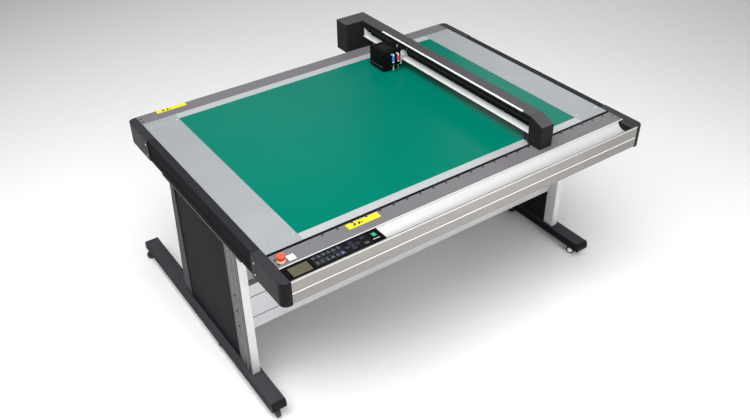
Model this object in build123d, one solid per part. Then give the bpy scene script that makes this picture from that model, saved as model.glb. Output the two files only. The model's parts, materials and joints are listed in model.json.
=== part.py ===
"""Flatbed cutting plotter on a wheeled stand, as separate physical pieces.

Everything is drawn in machine coordinates, in millimetres: x from the table's left end, y from its
front face, z up from the bed's top face. save() moves each piece into the part's frame, whose origin
is on the floor under the middle of the machine, with +X to the operator's right and +Y to the rear.
"""
import math
import os

from build123d import *

# Driving dimensions of the table
LENGTH = 1700.0
DEPTH = 1287.0
EDGE_HEIGHT = 98.0
BED_HEIGHT = 812.0
STAND_DEPTH = 1420.0

# Rows of the bed, from the front face to the rear face
TRAY_FRONT = 5.0
TRAY_LIP_FRONT = 76.5
TRAY_REAR = 80.0
SLOT_FRONT = 152.0
SLOT_REAR = 165.0
MAT_FRONT = 202.6
MAT_REAR = 1172.0
REAR_COVER_FRONT = 1214.0

# Columns of the bed, from the left end to the right end
SIDE_WIDTH = 37.0
MAT_LEFT = 180.5
MAT_RIGHT = 1514.0
CORNER_DEPTH = 205.0
CORNER_RADIUS = 26.0

SHEET = 3.0
WALL = 4.0
GAP = 0.3
SIDE_RECESS = 2.5

# Drive: one shaft under the bed, a toothed belt along each long rail
SHAFT_X = 135.0
IDLER_X = 1640.0
SHAFT_Z = -72.0
SHAFT_RADIUS = 6.0
PULLEY_RADIUS = 12.5
FLANGE_RADIUS = 15.5
BELT_INNER = 12.8
BELT_THICKNESS = 1.5
BELT_WIDTH = 10.0
FRONT_BELT_Y = 103.0
REAR_BELT_Y = 1262.0
RUNNING_FIT = 0.06

# Linear guide rails inside the two long rails
GUIDE_START = 165.0
GUIDE_END = 1660.0
GUIDE_WIDTH = 20.0
GUIDE_HEIGHT = 17.0
FRONT_GUIDE_Y = 150.0
REAR_GUIDE_Z = -43.0

# Gantry at rest
GANTRY_X = 1244.0
GANTRY_WIDTH = 62.0
GANTRY_TOP = 123.0
GANTRY_BOTTOM = 38.0
BEAM_FRONT = 172.0
BEAM_REAR = 1315.0
CAP_FRONT = 102.0
CAP_SHOULDER = 99.0
REAR_BOX_LEFT = 1120.0
REAR_BOX_END = 1402.0
REAR_BOX_BOTTOM = -22.0
LEDGE_TOP = 44.0
WALL_FACE_X = 1254.0
Y_BELT_X = 1235.5
Y_BELT_Z = 93.0
Y_IDLER_Y = 148.0
Y_PULLEY_Y = 1346.0

# Cutting head at rest
HEAD_LEFT = 1112.0
HEAD_FRONT = 1000.0
HEAD_REAR = 1112.0
HEAD_BOTTOM = 10.0
HEAD_TOP = 98.0
TOOL_Y = 985.0
PEN_X = 1155.0
BLADE_X = 1182.0

# Stand
FOOT_TOP = -725.0
FOOT_BOTTOM = -765.0
FOOT_OUT = 8.0
FOOT_WIDTH = 64.0
FOOT_FRONT = 172.0
FOOT_CAP = 15.0
POST_OUTER = 10.0
POST_INNER = 46.0
POST_FRONT = 357.0
POST_REAR = 453.0
BRACKET_BOTTOM = -106.0
BRACKET_FRONT = 297.0
BRACKET_REAR = 970.0
BEAM_TOP_Z = -318.0
BEAM_BOTTOM_Z = -533.0
CASTER_INSET = 40.0
WHEEL_RADIUS = 21.0
CASTER_TRAIL = 22.0
PAD_Y = 655.0

# The way each caster trails after the machine was rolled into place, anticlockwise from +X
CASTER_HEADINGS = {
    "front_left": 262.0,
    "front_right": 113.0,
    "rear_left": 163.0,
    "rear_right": 45.0,
}

os.makedirs("parts", exist_ok=True)
TO_FRAME = Location((-LENGTH / 2, -STAND_DEPTH / 2, BED_HEIGHT))


def save(name, *pieces):
    """Write one node: a single solid, or a group of separate identical pieces."""
    placed = [TO_FRAME * piece for piece in pieces]
    shape = placed[0] if len(placed) == 1 else Compound(children=placed)
    export_step(shape, f"parts/{name}.step")


def block(x, y, z):
    """A rectangular block from three (low, high) pairs."""
    size = [high - low for low, high in (x, y, z)]
    centre = [(high + low) / 2 for low, high in (x, y, z)]
    return Pos(*centre) * Box(*size)


def rod(radius, start, end):
    """A round rod between two points that differ along one axis."""
    span = Vector(*end) - Vector(*start)
    plane = Plane(origin=start, z_dir=span.normalized())
    return extrude(plane * Circle(radius), span.length)


def along_x(outline, low, high):
    """Extrude a closed (y, z) outline along x."""
    plane = Plane(origin=(low, 0, 0), x_dir=(0, 1, 0), z_dir=(1, 0, 0))
    return extrude(plane * make_face(Polyline(*outline, close=True)), high - low)


def along_y(outline, low, high):
    """Extrude a closed (x, z) outline along y."""
    plane = Plane(origin=(0, low, 0), x_dir=(1, 0, 0), z_dir=(0, -1, 0))
    return extrude(plane * make_face(Polyline(*outline, close=True)), -(high - low))


def mirrored(piece):
    """The same piece on the other end of the table."""
    return mirror(piece, about=Plane(origin=(LENGTH / 2, 0, 0), z_dir=(1, 0, 0)))


# ---------------------------------------------------------------- long rails

TRAY_LIP = -7.0
TRAY_DEPTH = 22.0
TRAY_SKIN = 3.0


def tray_arc(drop):
    """The trough's arc across the tray, lowered by drop."""
    middle = (TRAY_FRONT + TRAY_LIP_FRONT) / 2
    top = TRAY_LIP - drop
    return ThreePointArc((TRAY_FRONT, top), (middle, top - TRAY_DEPTH), (TRAY_LIP_FRONT, top))


def trough(low, high):
    """Curved sheet that makes the tray."""
    upper = tray_arc(0)
    lower = tray_arc(TRAY_SKIN)
    ends = [Line(upper @ 0, lower @ 0), Line(upper @ 1, lower @ 1)]
    plane = Plane(origin=(low, 0, 0), x_dir=(0, 1, 0), z_dir=(1, 0, 0))
    return extrude(plane * make_face(Curve() + [upper, lower] + ends), high - low)


GROOVE_TOP = -46.5
GROOVE_DEPTH = 2.5
GROOVE_FLANK = 4.5
FASCIA_CHAMFER = 5.0


def fascia_groove(z, flank, low, high):
    """Groove along the front face: a short upper side and a long sloping lower flank."""
    run_out = 1.0
    slope = flank * run_out / GROOVE_DEPTH
    outline = [(-run_out, z), (GROOVE_DEPTH, z), (-run_out, z - flank - slope)]
    return along_x(outline, low, high)


def front_rail():
    low, high = SIDE_WIDTH + GAP, LENGTH - SIDE_WIDTH - GAP
    span = (low, high)
    back = SLOT_REAR + 37
    rail = block(span, (0, TRAY_FRONT), (-EDGE_HEIGHT, 0))
    rail += block(span, (0, back + WALL), (-EDGE_HEIGHT, -EDGE_HEIGHT + WALL))
    rail += block(span, (TRAY_REAR, TRAY_REAR + WALL), (-EDGE_HEIGHT, -SHEET))
    rail += block(span, (TRAY_LIP_FRONT, TRAY_REAR - GAP), (TRAY_LIP - SHEET, 0))
    rail += block(span, (TRAY_REAR - 1, SLOT_FRONT), (-SHEET - WALL, -SHEET))
    rail += block(span, (back, back + WALL), (-EDGE_HEIGHT, -SHEET))
    rail += block(span, (SLOT_REAR, back + WALL), (-SHEET - WALL, -SHEET))
    rail += trough(low, high)
    rail -= fascia_groove(GROOVE_TOP, GROOVE_FLANK, low - 1, high + 1)
    rail -= fascia_groove(-FASCIA_CHAMFER, 1.5, low - 1, high + 1)
    chamfer_run = FASCIA_CHAMFER + 1
    corner = [(-1, -EDGE_HEIGHT - 1), (-1, chamfer_run - EDGE_HEIGHT), (chamfer_run, -EDGE_HEIGHT - 1)]
    rail -= along_x(corner, low - 1, high + 1)
    rail -= rod(SHAFT_RADIUS + 2, (SHAFT_X, back - 1, SHAFT_Z), (SHAFT_X, back + WALL + 1, SHAFT_Z))
    stud_start = (IDLER_X, TRAY_REAR + 1, SHAFT_Z)
    rail += rod(5, stud_start, (IDLER_X, FRONT_BELT_Y + 10, SHAFT_Z))
    return rail


REAR_SLOT_TOP = -30.0
REAR_SLOT_BOTTOM = -56.0


def rear_rail():
    low, high = SIDE_WIDTH + GAP, LENGTH - SIDE_WIDTH - GAP
    span = (low, high)
    inner = REAR_COVER_FRONT - WALL
    rail = block(span, (inner, REAR_COVER_FRONT), (-EDGE_HEIGHT, -SHEET))
    rail += block(span, (inner, DEPTH), (-SHEET - WALL, -SHEET))
    rail += block(span, (inner, DEPTH), (-EDGE_HEIGHT, -EDGE_HEIGHT + WALL))
    rail += block(span, (DEPTH - WALL, DEPTH), (REAR_SLOT_TOP, -SHEET))
    rail += block(span, (DEPTH - WALL, DEPTH), (-EDGE_HEIGHT, REAR_SLOT_BOTTOM))
    start = (SHAFT_X, inner - 1, SHAFT_Z)
    rail -= rod(SHAFT_RADIUS + 2, start, (SHAFT_X, REAR_COVER_FRONT + 1, SHAFT_Z))
    rail += rod(5, (IDLER_X, REAR_COVER_FRONT - 1, SHAFT_Z), (IDLER_X, REAR_BELT_Y + 10, SHAFT_Z))
    return rail


def rail_cover(front, rear):
    cover = block((SIDE_WIDTH + GAP, LENGTH - SIDE_WIDTH - GAP), (front, rear), (-SHEET, 0))
    return chamfer(cover.edges().filter_by(Axis.X).group_by(Axis.Z)[-1], 0.8)


# ---------------------------------------------------------------- table ends

SEAM_DEPTH = 0.8
CAP_SEAM = (-64.0, -62.8)


def corner_cap():
    """Front left moulded cap: rounded outer corner, seam round its lower third."""
    cap = block((0, SIDE_WIDTH), (0, CORNER_DEPTH), (-EDGE_HEIGHT, 0))
    outer = cap.edges().filter_by(Axis.Z).sort_by(lambda e: e.center().X + e.center().Y)[0]
    cap = fillet(outer, CORNER_RADIUS)
    cap = chamfer(cap.faces().sort_by(Axis.Z)[-1].edges(), 1.5)
    shell = offset(cap, amount=-SEAM_DEPTH)
    seam = block((-1, SIDE_WIDTH + 1), (-1, CORNER_DEPTH + 1), CAP_SEAM)
    return cap - (seam - shell)


def rear_corner_cap():
    """The front left cap turned to face the rear."""
    return mirror(corner_cap(), about=Plane(origin=(0, DEPTH / 2, 0), z_dir=(0, 1, 0)))


SIDE_CHANNEL = (-70.0, -30.0)
SIDE_CHANNEL_DEPTH = 1.5


def side_rail():
    """Black side extrusion of the left end, set back behind the corner caps."""
    low, high = SIDE_RECESS, SIDE_WIDTH
    outline = [(low + 2, -0.5), (high, -0.5), (high, -EDGE_HEIGHT + 1), (low, -EDGE_HEIGHT + 1)]
    channel_low, channel_high = SIDE_CHANNEL
    flank = SIDE_CHANNEL_DEPTH + 1
    outline += [(low, channel_low), (low + SIDE_CHANNEL_DEPTH, channel_low + flank)]
    outline += [(low + SIDE_CHANNEL_DEPTH, channel_high - flank), (low, channel_high), (low, -SHEET)]
    front, rear = CORNER_DEPTH + GAP, DEPTH - CORNER_DEPTH - GAP
    rail = along_y(outline, front, rear)
    hollow = block((low + 8, high - 5), (front - 1, rear + 1), (-EDGE_HEIGHT + 6, -8))
    return rail - hollow


SCREW_RADIUS = 3.6
SCREW_HEIGHT = 1.6
SOCKET_RADIUS = 1.6
CAP_SCREWS_Z = (-30.0, -80.0)
CAP_SCREW_INSET = 21.0
PLATE_SCREW_INSET = 7.0


def screw_head(x, y, z, facing):
    """Button head screw, facing along a unit vector."""
    base = Vector(x, y, z)
    tip = tuple(base + Vector(*facing) * SCREW_HEIGHT)
    socket = rod(SOCKET_RADIUS, tuple(base + Vector(*facing) * SCREW_HEIGHT / 2), tip)
    return rod(SCREW_RADIUS, (x, y, z), tip) - socket


def table_screws():
    """Two screws in each corner cap's side, and four in each bed plate."""
    screws = []
    for y in (CORNER_DEPTH - CAP_SCREW_INSET, DEPTH - CORNER_DEPTH + CAP_SCREW_INSET):
        for z in CAP_SCREWS_Z:
            left = screw_head(0, y, z, (-1, 0, 0))
            screws += [left, mirrored(left)]
    for y in (MAT_FRONT + PLATE_SCREW_INSET, MAT_REAR - PLATE_SCREW_INSET):
        for x in (SIDE_WIDTH + 20, MAT_LEFT - 2 * PLATE_SCREW_INSET):
            left = screw_head(x, y, 0, (0, 0, 1))
            screws += [left, mirrored(left)]
    return screws


# ---------------------------------------------------------------- bed

def bed_core():
    """Torsion panel: top skin, rim and a grid of ribs, open underneath."""
    x = (SIDE_WIDTH + 1, LENGTH - SIDE_WIDTH - 1)
    y = (SLOT_REAR + 37 + WALL + GAP, REAR_COVER_FRONT - WALL - GAP)
    top, bottom = -SHEET, -33.0
    skin, rib = 4.0, 5.0
    columns, rows = 12, 7
    core = block(x, y, (bottom, top))
    cell_x = (x[1] - x[0] - rib) / columns
    cell_y = (y[1] - y[0] - rib) / rows
    pocket = Box(cell_x - rib, cell_y - rib, top - skin - bottom)
    for column in range(columns):
        for row in range(rows):
            centre_x = x[0] + rib / 2 + cell_x * (column + 0.5)
            centre_y = y[0] + rib / 2 + cell_y * (row + 0.5)
            core -= Pos(centre_x, centre_y, (bottom + top - skin) / 2) * pocket
    return core


def bed_plate(x, y):
    plate = block(x, y, (-SHEET, 0))
    return chamfer(plate.faces().sort_by(Axis.Z)[-1].edges(), 0.6)


def bed_strips():
    span = (SIDE_WIDTH + GAP, LENGTH - SIDE_WIDTH - GAP)
    front = bed_plate(span, (SLOT_REAR, MAT_FRONT))
    rear = bed_plate(span, (MAT_REAR, REAR_COVER_FRONT))
    return [front, rear]


def cutting_mat():
    mat = block((MAT_LEFT + GAP, MAT_RIGHT - GAP), (MAT_FRONT + GAP, MAT_REAR - GAP), (-SHEET, 0.4))
    return chamfer(mat.faces().sort_by(Axis.Z)[-1].edges(), 0.4)


# ---------------------------------------------------------------- controls

PANEL_LEFT = 38.5
PANEL_RIGHT = 414.0
PANEL_TOP = -1.5
PANEL_BOTTOM = -6.5
DISPLAY = ((57.0, 130.0), (15.0, 63.0))
START_KEY = (387.0, 48.5)
START_KEY_SIZE = (14.0, 16.0)
ESTOP = (64.0, 108.5)
END_BLOCK_WIDTH = 27.0


def start_key_sides(room):
    """The start key's x and y ranges, grown by room on every side."""
    sides = zip(START_KEY, START_KEY_SIZE)
    return [(middle - size / 2 - room, middle + size / 2 + room) for middle, size in sides]


def control_panel():
    """Panel plate over the tray's left end, with its display window and start key openings."""
    y = (TRAY_FRONT + GAP, TRAY_LIP_FRONT - GAP)
    panel = block((PANEL_LEFT, PANEL_RIGHT), y, (PANEL_BOTTOM, PANEL_TOP))
    panel = chamfer(panel.faces().sort_by(Axis.Z)[-1].edges(), 0.8)
    lip = GAP
    x_gap = (DISPLAY[0][0] - lip, DISPLAY[0][1] + lip)
    y_gap = (DISPLAY[1][0] - lip, DISPLAY[1][1] + lip)
    panel -= block(x_gap, y_gap, (PANEL_BOTTOM + 1.5, 1))
    x_key, y_key = start_key_sides(GAP)
    return panel - block(x_key, y_key, (PANEL_BOTTOM - 1, 1))


def display_window():
    window = block(DISPLAY[0], DISPLAY[1], (PANEL_BOTTOM + 1.5, PANEL_TOP + 0.5))
    return chamfer(window.faces().sort_by(Axis.Z)[-1].edges(), 0.4)


def membrane_keypad():
    """One overlay with low domes: two rows of function keys and a cross of arrow keys."""
    pad = block((140, 366), (12, 70), (PANEL_TOP, PANEL_TOP + 0.4))
    keys = [(155 + 19 * n, y) for n in range(6) for y in (26, 56)]
    keys += [(296 + 20 * dx, 41 + 16 * dy) for dx, dy in ((0, 0), (1, 0), (-1, 0), (0, 1), (0, -1))]
    keys += [(344, 26), (344, 56)]
    low, high = PANEL_TOP + 0.4, PANEL_TOP + 1.1
    for x, y in keys:
        pad += block((x - 7, x + 7), (y - 5, y + 5), (low, high))
    return pad


def start_key():
    x, y = start_key_sides(0)
    key = block(x, y, (PANEL_BOTTOM, PANEL_TOP + 2.5))
    return chamfer(key.faces().sort_by(Axis.Z)[-1].edges(), 1.0)


ESTOP_TRAVEL = 4.0
ESTOP_STEM = 8.0
ESTOP_NECK = 13.4
ESTOP_RADIUS = 15.5
COLLAR_SHOULDER = 5.0
COLLAR_TOP = 12.5
SKIRT_BOTTOM = 10.5
ESTOP_ROOF = 18.0
ESTOP_TOP = 25.0


def estop_collar():
    """Collar with a base ring, a neck inside the button's skirt, and a bore for its stem."""
    x, y = ESTOP
    collar = rod(ESTOP_RADIUS - 0.3, (x, y, 0), (x, y, COLLAR_SHOULDER))
    collar = chamfer(collar.faces().sort_by(Axis.Z)[-1].edges(), 0.8)
    collar += rod(ESTOP_NECK, (x, y, COLLAR_SHOULDER - 1), (x, y, COLLAR_TOP))
    return collar - rod(ESTOP_STEM + RUNNING_FIT, (x, y, -1), (x, y, COLLAR_TOP + 1))


def estop_button():
    """Mushroom head whose skirt runs outside the collar's neck, with its stem in the bore."""
    x, y = ESTOP
    head = rod(ESTOP_RADIUS, (x, y, SKIRT_BOTTOM), (x, y, ESTOP_TOP))
    head = fillet(head.faces().sort_by(Axis.Z)[-1].edges(), 5)
    head -= rod(ESTOP_NECK + GAP, (x, y, SKIRT_BOTTOM - 1), (x, y, ESTOP_ROOF))
    return head + rod(ESTOP_STEM, (x, y, ESTOP_TRAVEL + 1), (x, y, ESTOP_ROOF + 1))


def tray_end_block():
    """Plug that closes the tray's right end."""
    high = LENGTH - SIDE_WIDTH - GAP
    low = high - END_BLOCK_WIDTH
    chord = Line((TRAY_FRONT, TRAY_LIP), (TRAY_LIP_FRONT, TRAY_LIP))
    plane = Plane(origin=(low, 0, 0), x_dir=(0, 1, 0), z_dir=(1, 0, 0))
    plug = extrude(plane * make_face(Curve() + [tray_arc(0), chord]), high - low)
    plug += block((low, high), (TRAY_FRONT, TRAY_LIP_FRONT), (TRAY_LIP, 0))
    return chamfer(plug.faces().sort_by(Axis.Z)[-1].edges(), 1.0)


# ---------------------------------------------------------------- drive of the long axis

def guide_rails():
    """Profile rails with waisted sides, one flat in the front rail and one upright in the rear rail."""
    half, waist = GUIDE_WIDTH / 2, GUIDE_WIDTH / 2 - 3
    foot = -EDGE_HEIGHT + WALL
    steps = [(half, 0), (half, 6), (waist, 9), (waist, 12), (half, 15), (half, GUIDE_HEIGHT)]
    section = steps + [(-across, up) for across, up in reversed(steps)]
    front = [(FRONT_GUIDE_Y + across, foot + up) for across, up in section]
    rear = [(REAR_COVER_FRONT + up, REAR_GUIDE_Z + across) for across, up in section]
    return [along_x(outline, GUIDE_START, GUIDE_END) for outline in (front, rear)]


def belt_loop(length, inner):
    """Closed belt outline lying in the local xy plane, running along x from 0 to length."""
    outer = inner + BELT_THICKNESS
    middle = Pos(length / 2, 0)
    loop = SlotCenterToCenter(length, 2 * outer) - SlotCenterToCenter(length, 2 * inner)
    return middle * loop


def drive_belts():
    belts = []
    for y in (FRONT_BELT_Y, REAR_BELT_Y):
        plane = Plane(origin=(SHAFT_X, y + BELT_WIDTH / 2, SHAFT_Z), x_dir=(1, 0, 0), z_dir=(0, -1, 0))
        belts.append(extrude(plane * belt_loop(IDLER_X - SHAFT_X, BELT_INNER), BELT_WIDTH))
    return belts


def pulley(centre, bore):
    """Toothed pulley with two flanges, its axis along z, its middle at centre."""
    half = BELT_WIDTH / 2 + 0.4
    teeth = 20
    body = Cylinder(PULLEY_RADIUS, 2 * half)
    groove = Pos(PULLEY_RADIUS, 0, 0) * Cylinder(0.8, 2 * half)
    for tooth in range(teeth):
        body -= Rot(0, 0, tooth * 360 / teeth) * groove
    for side in (-1, 1):
        body += Pos(0, 0, side * (half + 1)) * Cylinder(FLANGE_RADIUS, 2)
    if bore:
        body -= Cylinder(bore, 2 * half + 6)
    return Pos(*centre) * body


def pulley_on_y(x, y, z, bore):
    return Pos(x, y, z) * Rot(90, 0, 0) * pulley((0, 0, 0), bore)


def drive_shaft():
    """Cross shaft with a pulley for each belt."""
    shaft = rod(SHAFT_RADIUS, (SHAFT_X, FRONT_BELT_Y - 10, SHAFT_Z), (SHAFT_X, REAR_BELT_Y + 10, SHAFT_Z))
    shaft += pulley_on_y(SHAFT_X, FRONT_BELT_Y, SHAFT_Z, 0)
    shaft += pulley_on_y(SHAFT_X, REAR_BELT_Y, SHAFT_Z, 0)
    return shaft


def belt_idler(y):
    return pulley_on_y(IDLER_X, y, SHAFT_Z, 5 + RUNNING_FIT)


def x_motor():
    """Motor on the cross shaft, hung from the bed."""
    x = (SHAFT_X - 25, SHAFT_X + 25)
    body = block(x, (1010, 1090), (SHAFT_Z - 25, SHAFT_Z + 25))
    body = chamfer(body.edges().filter_by(Axis.Y), 5)
    body += block(x, (1004, 1010), (SHAFT_Z - 25, -33))
    body += block(x, (1004, 1060), (-38, -33))
    bore_end = (SHAFT_X, 1091, SHAFT_Z)
    return body - rod(SHAFT_RADIUS + RUNNING_FIT, (SHAFT_X, 1003, SHAFT_Z), bore_end)


CONTROLLER = ((700.0, 1000.0), (500.0, 760.0), (-92.0, -33.0))


def controller_box():
    """Electronics box under the bed, with louvres in its front face."""
    x, y, z = CONTROLLER
    box = block(x, y, z)
    box = fillet(box.edges().filter_by(Axis.Z), 4)
    box -= block((x[0] + 2, x[1] - 2), (y[0] + 2, y[1] - 2), (z[0] + 2, z[1] - 2))
    for n in range(8):
        low = x[0] + 40 + n * 28
        box -= block((low, low + 16), (y[0] - 1, y[0] + 3), (-70, -66))
        box -= block((low, low + 16), (y[0] - 1, y[0] + 3), (-60, -56))
    return box


def power_inlet():
    """Recessed mains inlet on the controller box's rear face, its three blades inside."""
    y = CONTROLLER[1][1]
    inlet = block((820, 868), (y, y + 14), (-78, -50))
    inlet = fillet(inlet.edges().filter_by(Axis.Y), 3)
    inlet -= block((832, 856), (y + 2, y + 15), (-72, -56))
    for x, z in ((838, -64.5), (850, -64.5), (844, -60)):
        inlet += block((x - 1, x + 1), (y + 1, y + 12), (z - 2, z + 2))
    return inlet


# ---------------------------------------------------------------- gantry

GANTRY_LEFT = GANTRY_X - GANTRY_WIDTH / 2
GANTRY_RIGHT = GANTRY_X + GANTRY_WIDTH / 2
COVER = 5.0
Y_RAIL = (58.0, 70.0)
STRIP = 8.0
STRIP_FRONT = 215.0
WEB_THICKNESS = 5.0
WEB_FOOT_LEFT = 1222.0
WEB_FOOT_REAR = MAT_FRONT - 1
WEB_FOOT_BOTTOM = 2.0
STRIP_REAR = 1155.0


def gantry_beam():
    """Box beam along the gantry's right side, with the head's rail on its face."""
    x = (WALL_FACE_X, GANTRY_RIGHT)
    z = (GANTRY_BOTTOM, GANTRY_TOP - COVER)
    beam = block(x, (BEAM_FRONT, BEAM_REAR), z)
    inner_x = (x[0] + 3, x[1] - 3)
    beam -= block(inner_x, (BEAM_FRONT - 1, BEAM_REAR + 1), (z[0] + 3, z[1] - 3))
    low, high = Y_RAIL
    face = WALL_FACE_X
    rail = [(face + 1, low + 2), (face - 2, low + 3), (face - 6, low), (face - 6, high)]
    rail += [(face - 2, high - 3), (face + 1, high - 2)]
    return beam + along_y(rail, BEAM_FRONT, BEAM_REAR)


def gantry_ledge():
    """Bright lower ledge with a turned down outer edge and a gusset at its rear end."""
    x = (GANTRY_LEFT, WALL_FACE_X)
    ledge = block(x, (BEAM_FRONT, BEAM_REAR), (LEDGE_TOP - 6, LEDGE_TOP))
    ledge = chamfer(ledge.edges().filter_by(Axis.Y).sort_by(lambda e: e.center().X - e.center().Z)[0], 1)
    gusset = [(GANTRY_LEFT, LEDGE_TOP), (WALL_FACE_X, LEDGE_TOP), (WALL_FACE_X, Y_RAIL[0] - 2)]
    gusset += [(GANTRY_LEFT + 30, Y_RAIL[0] - 2), (GANTRY_LEFT, 92)]
    return ledge + along_y(gusset, BEAM_REAR - 12, BEAM_REAR - 8)


def gantry_cover():
    """Top cover with a notched left edge for the bright strip."""
    low = GANTRY_TOP - COVER
    notch = GANTRY_LEFT + STRIP
    outline = [(GANTRY_LEFT, low), (GANTRY_RIGHT, low), (GANTRY_RIGHT, GANTRY_TOP - 1)]
    outline += [(GANTRY_RIGHT - 1, GANTRY_TOP), (GANTRY_LEFT + 1, GANTRY_TOP), (GANTRY_LEFT, GANTRY_TOP - 1)]
    cover = along_y(outline, BEAM_FRONT, BEAM_REAR)
    lip = block((GANTRY_LEFT, GANTRY_LEFT + 2), (BEAM_FRONT, BEAM_REAR), (low - 8, low))
    cover += lip
    seat = block((GANTRY_LEFT - 1, notch), (STRIP_FRONT, STRIP_REAR), (low + 2, GANTRY_TOP + 1))
    return cover - seat


def gantry_edge_strip():
    """Bright strip in the cover's left edge, sloped towards the operator's left."""
    low = GANTRY_TOP - COVER + 2
    outline = [(GANTRY_LEFT, low), (GANTRY_LEFT + STRIP, low), (GANTRY_LEFT + STRIP, GANTRY_TOP)]
    outline += [(GANTRY_LEFT + 3, GANTRY_TOP), (GANTRY_LEFT, GANTRY_TOP - 1.5)]
    return along_y(outline, STRIP_FRONT, STRIP_REAR)


def gantry_front_cap():
    """Hollow cap over the front truck's web, sloped down to the operator."""
    outline = [(CAP_FRONT, 2), (CAP_FRONT, CAP_SHOULDER), (BEAM_FRONT, GANTRY_TOP), (BEAM_FRONT, 2)]
    cap = along_x(outline, GANTRY_LEFT, GANTRY_RIGHT)
    edges = cap.edges().filter_by(lambda e: e.center().Y < CAP_FRONT + 0.01 or e.center().Z > 100)
    cap = chamfer(edges.filter_by(Axis.X), 1.0)
    inner = [(CAP_FRONT + 3, -1), (CAP_FRONT + 3, CAP_SHOULDER - 3), (BEAM_FRONT - 6, 117)]
    inner += [(BEAM_FRONT + 1, 117), (BEAM_FRONT + 1, -1)]
    return cap - along_x(inner, GANTRY_LEFT + 3, GANTRY_RIGHT - 3)


def gantry_rear_box():
    """Hollow housing behind the table for the cross drive, open where the beam meets it."""
    box = block((REAR_BOX_LEFT, GANTRY_RIGHT), (BEAM_REAR, REAR_BOX_END), (REAR_BOX_BOTTOM, GANTRY_TOP))
    box = chamfer(box.faces().sort_by(Axis.Z)[-1].edges(), 1.0)
    inner_z = (REAR_BOX_BOTTOM + 3, GANTRY_TOP - 3)
    box -= block((REAR_BOX_LEFT + 3, GANTRY_RIGHT - 3), (BEAM_REAR + 3, REAR_BOX_END - 3), inner_z)
    port = block((GANTRY_LEFT + 4, WALL_FACE_X), (BEAM_REAR - 1, BEAM_REAR + 4), (80, 106))
    return box - port


def front_truck():
    """Carriage on the front guide rail, its web up through the slot and its belt clamp."""
    x = (GANTRY_X - 40, GANTRY_X + 40)
    foot = -EDGE_HEIGHT + WALL
    clear = GUIDE_WIDTH / 2 + GAP
    truck = block(x, (FRONT_GUIDE_Y - 22, FRONT_GUIDE_Y + 22), (foot + 3, -50))
    top = foot + GUIDE_HEIGHT + GAP
    truck -= block((x[0] - 1, x[1] + 1), (FRONT_GUIDE_Y - clear, FRONT_GUIDE_Y + clear), (foot, top))
    web_y = (SLOT_REAR - 1 - WEB_THICKNESS, SLOT_REAR - 1)
    truck += block((GANTRY_X - 25, GANTRY_X + 25), web_y, (-51, WEB_FOOT_BOTTOM))
    foot_x = (WEB_FOOT_LEFT, GANTRY_X + 27)
    truck += block(foot_x, (web_y[0], WEB_FOOT_REAR), (WEB_FOOT_BOTTOM, GANTRY_BOTTOM))
    belt_top = SHAFT_Z + BELT_INNER + BELT_THICKNESS + GAP
    return truck + block((GANTRY_X - 10, GANTRY_X + 10), (FRONT_BELT_Y - 5, 130), (belt_top, -50))


def rear_truck():
    """Carriage on the rear guide rail, its arm out through the rear slot and up to the beam."""
    x = (GANTRY_X - 40, GANTRY_X + 40)
    clear = GUIDE_WIDTH / 2 + GAP
    face = REAR_COVER_FRONT + GUIDE_HEIGHT
    truck = block(x, (REAR_COVER_FRONT + 3, face + 14), (REAR_GUIDE_Z - 16, REAR_GUIDE_Z + 16))
    groove_z = (REAR_GUIDE_Z - clear, REAR_GUIDE_Z + clear)
    truck -= block((x[0] - 1, x[1] + 1), (REAR_COVER_FRONT, face + GAP), groove_z)
    arm_x = (GANTRY_X - 24, GANTRY_X + 24)
    truck += block(arm_x, (face + 12, BEAM_REAR), (-50, -36))
    truck += block(arm_x, (BEAM_REAR - 7, BEAM_REAR), (-50, GANTRY_BOTTOM))
    belt_top = SHAFT_Z + BELT_INNER + BELT_THICKNESS + GAP
    clamp_y = (REAR_BELT_Y - 5, REAR_BELT_Y + 5)
    return truck + block((GANTRY_X - 10, GANTRY_X + 10), clamp_y, (belt_top, -49))


def y_motor():
    """Motor inside the rear housing, its shaft up into the drive pulley."""
    x = (Y_BELT_X - 26, Y_BELT_X + 26)
    motor = block(x, (Y_PULLEY_Y - 26, Y_PULLEY_Y + 26), (REAR_BOX_BOTTOM + 3, 78))
    motor = chamfer(motor.edges().filter_by(Axis.Z), 5)
    return motor + rod(4, (Y_BELT_X, Y_PULLEY_Y, 77), (Y_BELT_X, Y_PULLEY_Y, 104))


def y_belt():
    plane = Plane(origin=(Y_BELT_X, Y_IDLER_Y, Y_BELT_Z - BELT_WIDTH / 2), x_dir=(0, 1, 0))
    return extrude(plane * belt_loop(Y_PULLEY_Y - Y_IDLER_Y, BELT_INNER), BELT_WIDTH)


def idler_pin():
    """Upright pin in the front cap that the belt's idler turns on."""
    return rod(4, (Y_BELT_X, Y_IDLER_Y, 2 + GANTRY_BOTTOM), (Y_BELT_X, Y_IDLER_Y, 104))


def cap_floor():
    """Shelf inside the front cap that carries the idler's pin."""
    return block((GANTRY_LEFT + 2, GANTRY_RIGHT - 2), (CAP_FRONT + 2, BEAM_FRONT), (GANTRY_BOTTOM, 42))


# ---------------------------------------------------------------- cutting head

PLATE_X = (1205.0, 1210.0)


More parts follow.
